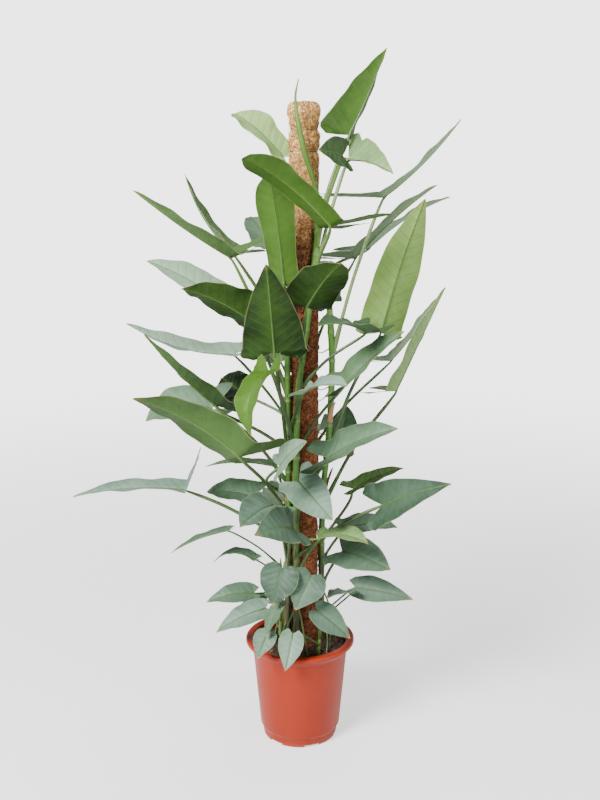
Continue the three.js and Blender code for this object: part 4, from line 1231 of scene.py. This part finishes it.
def root_path(name, ends, bend, steps, radii, waver, ease, pace):
    """A thin root between its ends by way of a bend, wavering more as it leaves the stem."""
    route = evenly(curve_through([ends[0], bend, ends[1]]), steps)
    for index, place in enumerate(route[1:], 1):
        place += noise.noise_vector(place * pace) * waver * min(index / ease, 1)
    return round_path(name, route, [mix(*radii, index / steps) for index in range(steps + 1)], 2)


def aerial_root(points, height, end):
    start, tip = stem_point(points, height), Vector(end)
    bend = start.lerp(tip, 0.6)
    bend.z -= (tip - start).length * 0.12
    return root_path("aerial_root", (start, tip), bend, 12, (1.7, 0.8), 0.9, 3, 0.08)


def ground_root(points, height, end):
    """A root or young stalk that bows out of a stem and goes down into the soil."""
    start, tip = stem_point(points, height), Vector((*end, SOIL_LEVEL - 6))
    bend = start.lerp(tip, 0.55) + Vector((*end, 0)).normalized() * 7
    piece = root_path("ground_root", (start, tip), bend, 14, (2.2, 1.5), 1.6, 4, 0.05)
    rises = [(place.z - SOIL_LEVEL) / 130 for place in vertex_places(piece)]
    write_attribute(piece, "tone", [mix(0.2, 0.55, rise) for rise in rises])
    return piece


def dry_sheath(strip, stem, height, draw):
    """A copy of the strip, which is 1 long, that clasps the stem at a node and peels away from it."""
    copy = copied(strip)
    turn = draw.uniform(0, 2 * math.pi)
    length = draw.uniform(38, 74)
    peel = draw.uniform(0.10, 0.42)
    curl = draw.uniform(-1.2, 1.2)
    for vertex in copy.data.vertices:
        across, along = vertex.co.x, vertex.co.y + 0.5
        level = height + along * length
        centre = stem_point(VINES[stem], level)
        width = 11 * (1 - along) ** 0.7 + 1.0
        angle = turn + across * width / VINE_RADIUS * (1 - 0.5 * along) + curl * along ** 2
        reach = VINE_RADIUS + 0.9 + peel * length * along ** 2
        fray = draw.uniform(-0.5, 0.5) * along
        vertex.co = Vector((
            centre.x + math.cos(angle) * reach, centre.y + math.sin(angle) * reach,
            level - peel * length * 0.5 * along ** 3 + fray,
        )) * MM
    return copy


class PLANT_OT_sheaths(Operator):
    """Make the dried sheaths that cling to the stems above their scar rings."""

    bl_idname = "plant.sheaths"
    bl_label = "Dried Sheaths"

    def execute(self, context):
        draw = random.Random(SHEATH_SEED)
        clear_selection()
        bpy.ops.mesh.primitive_grid_add(x_subdivisions=5, y_subdivisions=14, size=1)
        strip = bpy.context.object
        sheaths = joined([dry_sheath(strip, *place, draw) for place in SHEATHS], "dried_sheaths")
        bpy.data.objects.remove(strip)
        thicken(sheaths, 0.5 * MM)
        papery = grained(
            "Dried sheath", lambda tree: streaks(tree, (500, 500, 40)),
            (0.12, 0.035, 0.018), (0.50, 0.27, 0.15), (0.55, 0.8), (0.5, 0.0006),
        )
        finished(sheaths, "stem", [papery], 60)
        return {"FINISHED"}


class PLANT_OT_stems(Operator):
    """Make the climbing stems with their scar rings, aerial roots and ground roots."""

    bl_idname = "plant.stems"
    bl_label = "Climbing Stems"

    def execute(self, context):
        green = stem_material()
        brown = grained(
            "Aerial root", lambda tree: mottled(tree, 40.0, 220.0, 0.5), (0.10, 0.045, 0.022),
            (0.30, 0.19, 0.09), (0.6, 0.8),
        )
        kinds = ((AERIAL_ROOTS, aerial_root, brown), (GROUND_ROOTS, ground_root, stalk_material()))
        for name, points in VINES.items():
            parts = [stem_body(f"climbing_stem_{name}", points, VINE_RADIUS, ring_heights(name, points))]
            set_materials(parts[0], green)
            for roots, make, material in kinds:
                for _, height, end in (root for root in roots if root[0] == name):
                    parts.append(make(points, height, end))
                    set_materials(parts[-1], material)
            finished(joined(parts, f"climbing_stem_{name}"), "stem", None, 70, f"stem_{name}")
        return {"FINISHED"}


# Leaves
def blade_frame(leaf):
    joint, tip = sight(leaf["joint"]), sight(leaf["tip"])
    along = tip - joint
    length = along.length
    along.normalize()
    up = Vector(leaf["face"])
    up = (up - along * up.dot(along)).normalized()
    return joint, along, up, along.cross(up), length


def blade_point(leaf, frame_of_blade, along_share, across_share, side):
    joint, along, up, across, length = frame_of_blade
    fold, lift = math.radians(leaf["fold"]), math.radians(leaf["lift"])
    half = across_share * leaf["width"] / 2
    wave = EDGE_WAVE * across_share ** 2 * math.sin(along_share * EDGE_WAVE_RATE + side * EDGE_WAVE_SHIFT)
    if along_share < 0:
        back = -along_share * leaf["lobe"] * length
        point = joint - along * back * math.cos(lift) + up * back * math.sin(lift)
    else:
        arch = leaf["arch"] * length * 4 * along_share * (1 - along_share)
        point = joint + along * along_share * length + up * arch
    return point + across * side * half * math.cos(fold) + up * (half * math.sin(fold) + wave * leaf["width"])


def blended_row(rows, place, joint_row):
    """The inner and outer point of a blade's row at a place between its given rows."""
    index = min(int(place), len(rows) - 2)
    share = place - index
    near = [rows[min(max(index + step, 0), len(rows) - 1)] for step in (-1, 0, 1, 2)]
    ends = []
    for end in (0, 1):
        pair = []
        for before, low, high, after in zip(*(row[end] for row in near)):
            if end == 0 and index >= joint_row - 1:
                pair.append(mix(low, high, share))
            else:
                pair.append(eased(low, high, (high - before) / 2, (after - low) / 2, share))
        ends.append(pair)
    return ends


def thicken(piece, thickness):
    """Gives a sheet its thickness, with its own material outside and the next one on the back."""
    solidify = piece.modifiers.new("Thickness", "SOLIDIFY")
    solidify.thickness = thickness
    solidify.offset = 0
    solidify.material_offset = 1
    solidify.material_offset_rim = 0
    apply_modifiers(piece)


def side_of(vertex):
    """Which half of the grid a point belongs to, by its faces where it lies on the middle line."""
    if abs(vertex.co.x) > MIDDLE:
        return 1 if vertex.co.x > 0 else -1
    return 1 if sum(face.calc_center_median().x for face in vertex.link_faces) >= 0 else -1


def blade(leaf, plant):
    """The thin blade of one leaf, from a grid that is split between its lobes."""
    rows = BLADE_ROWS[leaf["kind"]]
    joint_row = JOINT_ROW[leaf["kind"]]
    spans = len(rows) - 1
    clear_selection()
    bpy.ops.mesh.primitive_grid_add(
        x_subdivisions=2 * plant.columns, y_subdivisions=spans * plant.span_steps, size=2,
    )
    piece = bpy.context.object
    piece.name = leaf["name"] + "_blade"
    split = 2 * joint_row / spans - 1
    bpy.ops.object.mode_set(mode="EDIT")
    bpy.ops.mesh.select_all(action="DESELECT")
    mesh = bmesh.from_edit_mesh(piece.data)
    for vertex in mesh.verts:
        vertex.select = abs(vertex.co.x) < MIDDLE and vertex.co.y < split + MIDDLE
    mesh.select_flush(True)
    bmesh.update_edit_mesh(piece.data)
    bpy.ops.mesh.edge_split(type="EDGE")
    mesh = bmesh.from_edit_mesh(piece.data)
    shape_blade(leaf, mesh, rows, joint_row, plant)
    bmesh.update_edit_mesh(piece.data)
    bpy.ops.object.mode_set(mode="OBJECT")
    set_materials(piece, *leaf_materials())
    thicken(piece, plant.thickness)
    return piece


def shape_blade(leaf, mesh, rows, joint_row, plant):
    """Lays the flat grid on the leaf's curved surface and notes the veins at each point."""
    layers = [mesh.verts.layers.float.new(name) for name in ("margin", "rib", "vein", "tone", "bloom", "tip")]
    of_blade = blade_frame(leaf)
    up, length = of_blade[2], of_blade[4]
    pitch = plant.vein_pitch / MM * mix(0.62, 1, smooth_step(60, 200, length))
    half_width = leaf["width"] / 2
    sides = {vertex.index: side_of(vertex) for vertex in mesh.verts}
    places = {}
    for vertex in mesh.verts:
        side = sides[vertex.index]
        row = (vertex.co.y + 1) / 2 * (len(rows) - 1)
        inner, outer = blended_row(rows, row, joint_row)
        share = abs(vertex.co.x) ** COLUMN_EASE
        along, across = mix(inner[0], outer[0], share), max(mix(inner[1], outer[1], share), 0)
        half = across * half_width
        lobe_share = 1 - smooth_step(joint_row - 1.4, joint_row, row)
        rib = mix(half, abs(share - LOBE_RIB) * (outer[1] - inner[1]) * half_width, lobe_share)
        phase = (along * length * (leaf["lobe"] if along < 0 else 1) - VEIN_SLANT * half) / pitch
        beyond = row > joint_row
        inland = smooth_step(0.0, 0.15, share) * (1 - smooth_step(0.75, 1.0, share)) if beyond else 0.5
        quilt = QUILT[leaf["kind"]] * math.cos(2 * math.pi * phase) * inland
        groove = -GROOVE_DEPTH * math.exp(-(half / GROOVE_REACH) ** 2) * (1 - lobe_share)
        turn = along * RIPPLE_RATE + side * RIPPLE_SHIFT + leaf["at"]
        ripple = RIPPLE * leaf["width"] * share ** 2 * math.sin(turn)
        point = blade_point(leaf, of_blade, along, across, side)
        places[vertex.index] = point + up * (quilt + groove + ripple)
        edge = share if beyond else max(share, 1 - share)
        tip = smooth_step(0.9, 1.0, along) * DRY_TIP[leaf["kind"]]
        for layer, value in zip(layers, (edge, rib, phase + 100, leaf["tone"], leaf["bloom"], tip)):
            vertex[layer] = value
    for vertex in mesh.verts:
        vertex.co = places[vertex.index] * MM


def stalk(leaf, foot):
    """The leaf's stalk from its stem to the joint, and on as the raised midrib under the blade."""
    of_blade = blade_frame(leaf)
    joint, up, length = of_blade[0], of_blade[2], of_blade[4]
    sheath, plain, thin = PETIOLE_RADII[leaf["kind"]]
    seat = joint - up * thin
    end = blade_point(leaf, of_blade, RIB_START / length, 0, 1) - up * 0.4
    middle = foot.lerp(seat, 0.5)
    middle.x -= (seat.x - foot.x) * PETIOLE_INSET
    middle.y -= (seat.y - foot.y) * PETIOLE_INSET
    middle.z += (seat - foot).length * PETIOLE_RISE
    if leaf["name"] in PETIOLE_BENDS:
        middle = sight(PETIOLE_BENDS[leaf["name"]])
    route = evenly(curve_through([foot, middle, seat, end]), STALK_STEPS)
    radii = []
    for step in range(STALK_STEPS + 1):
        share = step / STALK_STEPS
        sheath_share = 1 - smooth_step(0.06, 0.30, share)
        neck = smooth_step(0.80, 1.0, share)
        radii.append(mix(mix(plain * 0.94, sheath, sheath_share), thin * 1.25, neck))
    for step in range(1, RIB_STEPS + 1):
        share = mix(RIB_START / length, 0.9, step / RIB_STEPS)
        route.append(blade_point(leaf, of_blade, share, 0, 1) - up * 1.1)
        radii.append(mix(thin * 1.05, 0.45, step / RIB_STEPS))
    piece = round_path(leaf["name"] + "_stalk", route, radii, 3)
    # Stalks of low leaves are darker, partly as painted shade deep in the plant; those of the top leaves are
    # paler young growth.
    pale = mix(0.12, 0.75, smooth_step(900, 1180, joint.z)) * mix(0.6, 1, leaf["tone"])
    rib_tone = mix(0.3, 0.45, leaf["tone"])
    reach = (joint - foot).length
    shares = [min((place - foot).length / reach, 1) for place in vertex_places(piece)]
    write_attribute(piece, "tone", [mix(pale, rib_tone, smooth_step(0.8, 1, share)) for share in shares])
    set_materials(piece, *leaf_materials(), index=STALK_INDEX)
    return piece


def whole_leaf(leaf, stems, plant):
    parts = [blade(leaf, plant), stalk(leaf, stem_point(stems[leaf["stem"]], leaf["at"]))]
    return joined(parts, leaf["name"] + "_with_stalk")


class PLANT_OT_leaves(Operator):
    """Make every grown leaf with its stalk."""

    bl_idname = "plant.leaves"
    bl_label = "Grown Leaves"

    def execute(self, context):
        slots = {part["node"]: part["material_slot"] for part in frame["record"]["subparts"]}
        for leaf in LEAVES:
            if leaf["stem"] in VINES:
                piece = whole_leaf(leaf, VINES, context.scene.plant_foliage)
                finished(piece, slots[leaf["name"]], None, 75, leaf["name"])
        return {"FINISHED"}


class PLANT_OT_shoots(Operator):
    """Make the young shoots at the foot, each with its young leaves."""

    bl_idname = "plant.shoots"
    bl_label = "Young Shoots"

    def execute(self, context):
        for name, points in SHOOTS.items():
            young = [leaf for leaf in LEAVES if leaf["stem"] == name]
            stem = stem_body(name, points, SHOOT_RADIUS, [leaf["at"] - 6 for leaf in young])
            write_attribute(stem, "tone", [0.42] * len(stem.data.vertices))
            set_materials(stem, *leaf_materials(), index=STALK_INDEX)
            leaves = [whole_leaf(leaf, SHOOTS, context.scene.plant_foliage) for leaf in young]
            finished(joined([stem, *leaves], name + "_with_leaves"), "leaf_young", None, 75, name)
        return {"FINISHED"}


class PLANT_OT_spear(Operator):
    """Make the rolled young leaf at the top of the front stem."""

    bl_idname = "plant.spear"
    bl_label = "Rolled Leaf"

    def execute(self, context):
        points = [stem_point(VINES["front"], SPEAR_FOOT), *(sight(point) for point in SPEAR_POINTS)]
        route = evenly(curve_through(points), SPEAR_STEPS)
        last = len(SPEAR_RADII) - 1
        radii = []
        for step in range(SPEAR_STEPS + 1):
            place = step / SPEAR_STEPS * last
            index = min(int(place), last - 1)
            share = smooth_step(0, 1, place - index)
            radii.append(mix(SPEAR_RADII[index], SPEAR_RADII[index + 1], share))
        piece = round_path("rolled_leaf", route, radii, 6)
        roll_spear(piece, route, radii)
        write_attribute(piece, "tone", [0.62] * len(piece.data.vertices))
        finished(piece, "leaf_green", leaf_materials(), 75, "leaf_spear")
        return {"FINISHED"}


def roll_spear(piece, route, radii):
    """Draws a seam along the rolled blade, where its free edge lies on the roll: a pale edge, with a darker
    band beside it as painted shade under that edge.
    """
    notes = []
    for vertex in piece.data.vertices:
        place = vertex.co / MM
        nearest = min(range(len(route)), key=lambda index: (route[index] - place).length_squared)
        out = place - route[nearest]
        turn = math.atan2(out.y, out.x)
        twisted = turn + 1.9 + nearest * 0.02
        seam = math.atan2(math.sin(twisted), math.cos(twisted))
        wide = smooth_step(4, 9, radii[nearest])
        step_in = 0.16 * math.exp(-(seam / 0.28) ** 2) * wide
        flat = 1 - 0.25 * wide * abs(math.sin(turn - 0.5))
        vertex.co = (route[nearest] + out * flat * (1 - step_in)) * MM
        # The margin note paints the pale edge at the seam; the rib note gives the darker band beside it,
        # painted shade under the free edge.
        margin = 1 - min(abs(seam) / 1.4, 1) * 0.5
        notes.append((margin, abs(seam) * radii[nearest], 100 + nearest * 0.28 - abs(seam) * 0.5))
    for name, values in zip(("margin", "rib", "vein"), zip(*notes)):
        write_attribute(piece, name, values)


# Stage
def area_light(name, power, size, place):
    clear_selection()
    bpy.ops.object.light_add(type="AREA", location=place)
    light = bpy.context.object
    light.name = name
    light.data.energy = power
    light.data.shape = "DISK"
    light.data.size = size
    light.rotation_euler = (PLANT_MIDDLE - Vector(place)).to_track_quat("-Z", "Y").to_euler()


def surround_share(tree, stage):
    """One as it is seen, and less as it lights the plant."""
    seen = add_node(tree, "ShaderNodeLightPath").outputs["Is Camera Ray"]
    return ranged(tree, seen, 0, 1, stage.cast, 1.0)


def white_surround(stage):
    """A white studio all round, bright low down and dimmer overhead where the lamps hang."""
    world = bpy.data.worlds.new("White surround")
    world.use_nodes = True
    tree = world.node_tree
    direction = add_node(tree, "ShaderNodeTexCoord").outputs["Generated"]
    height = add_node(tree, "ShaderNodeSeparateXYZ", {0: direction}).outputs["Z"]
    strength = ranged(tree, height, 0.16, 0.5, stage.glow, stage.roof, True)
    background = tree.nodes["Background"].inputs
    background["Color"].default_value = (1, 1, 1, 1)
    tree.links.new(times(tree, strength, surround_share(tree, stage)), background["Strength"])
    return world


class PLANT_OT_stage(Operator):
    """Set the plain floor, the soft lights and the camera."""

    bl_idname = "plant.stage"
    bl_label = "Studio"

    def execute(self, context):
        stage = context.scene.plant_stage
        clear_selection()
        bpy.ops.mesh.primitive_circle_add(vertices=96, radius=FLOOR_RADIUS, fill_type="NGON")
        floor = bpy.context.object
        floor.name = "studio_floor"
        set_materials(floor, floor_material())
        area_light("key_light", stage.key, 1.5, (-1.9, -2.4, 2.9))
        area_light("fill_light", stage.fill, 2.6, (2.6, -2.0, 1.7))
        area_light("top_light", stage.fill, 2.2, (0.3, 0.9, 3.4))
        context.scene.world = white_surround(stage)
        bpy.ops.object.camera_add(location=EYE * MM, rotation=(math.pi / 2 - CAMERA_TILT, 0, 0))
        camera = bpy.context.object
        camera.data.lens = stage.lens
        camera.data.sensor_width = 36
        camera.data.clip_end = 60
        context.scene.camera = camera
        return {"FINISHED"}


class PLANT_PT_parts(Panel):
    """Lists the plant's settings and its operators."""

    bl_idname = "PLANT_PT_parts"
    bl_label = "Potted Philodendron"
    bl_space_type = "VIEW_3D"
    bl_region_type = "UI"
    bl_category = "Plant"

    def draw(self, context):
        for name in SETTINGS:
            settings = getattr(context.scene, name)
            box = self.layout.box()
            for key in settings.bl_rna.properties.keys():
                if key not in ("rna_type", "name"):
                    box.prop(settings, key)
        for operator in OPERATORS:
            self.layout.operator(operator.bl_idname)


SETTINGS = {
    "plant_pot": PotSettings, "plant_pole": PoleSettings, "plant_foliage": FoliageSettings,
    "plant_stage": StageSettings,
}
OPERATORS = [
    PLANT_OT_pot, PLANT_OT_soil, PLANT_OT_pole, PLANT_OT_stems, PLANT_OT_sheaths, PLANT_OT_leaves,
    PLANT_OT_spear, PLANT_OT_shoots, PLANT_OT_stage,
]
CLASSES = [*SETTINGS.values(), *OPERATORS, PLANT_PT_parts]


def register():
    for each in CLASSES:
        bpy.utils.register_class(each)
    for name, settings in SETTINGS.items():
        setattr(bpy.types.Scene, name, PointerProperty(type=settings))


def unregister():
    for name in SETTINGS:
        delattr(bpy.types.Scene, name)
    for each in reversed(CLASSES):
        bpy.utils.unregister_class(each)


def main():
    noise.seed_set(ROOT_SEED)
    register()
    bpy.ops.plant.pot()
    bpy.ops.plant.soil()
    bpy.ops.plant.pole()
    bpy.ops.plant.stems()
    bpy.ops.plant.sheaths()
    bpy.ops.plant.leaves()
    bpy.ops.plant.spear()
    bpy.ops.plant.shoots()
    bpy.ops.plant.stage()
    clear_selection()


if __name__ == "__main__":
    main()
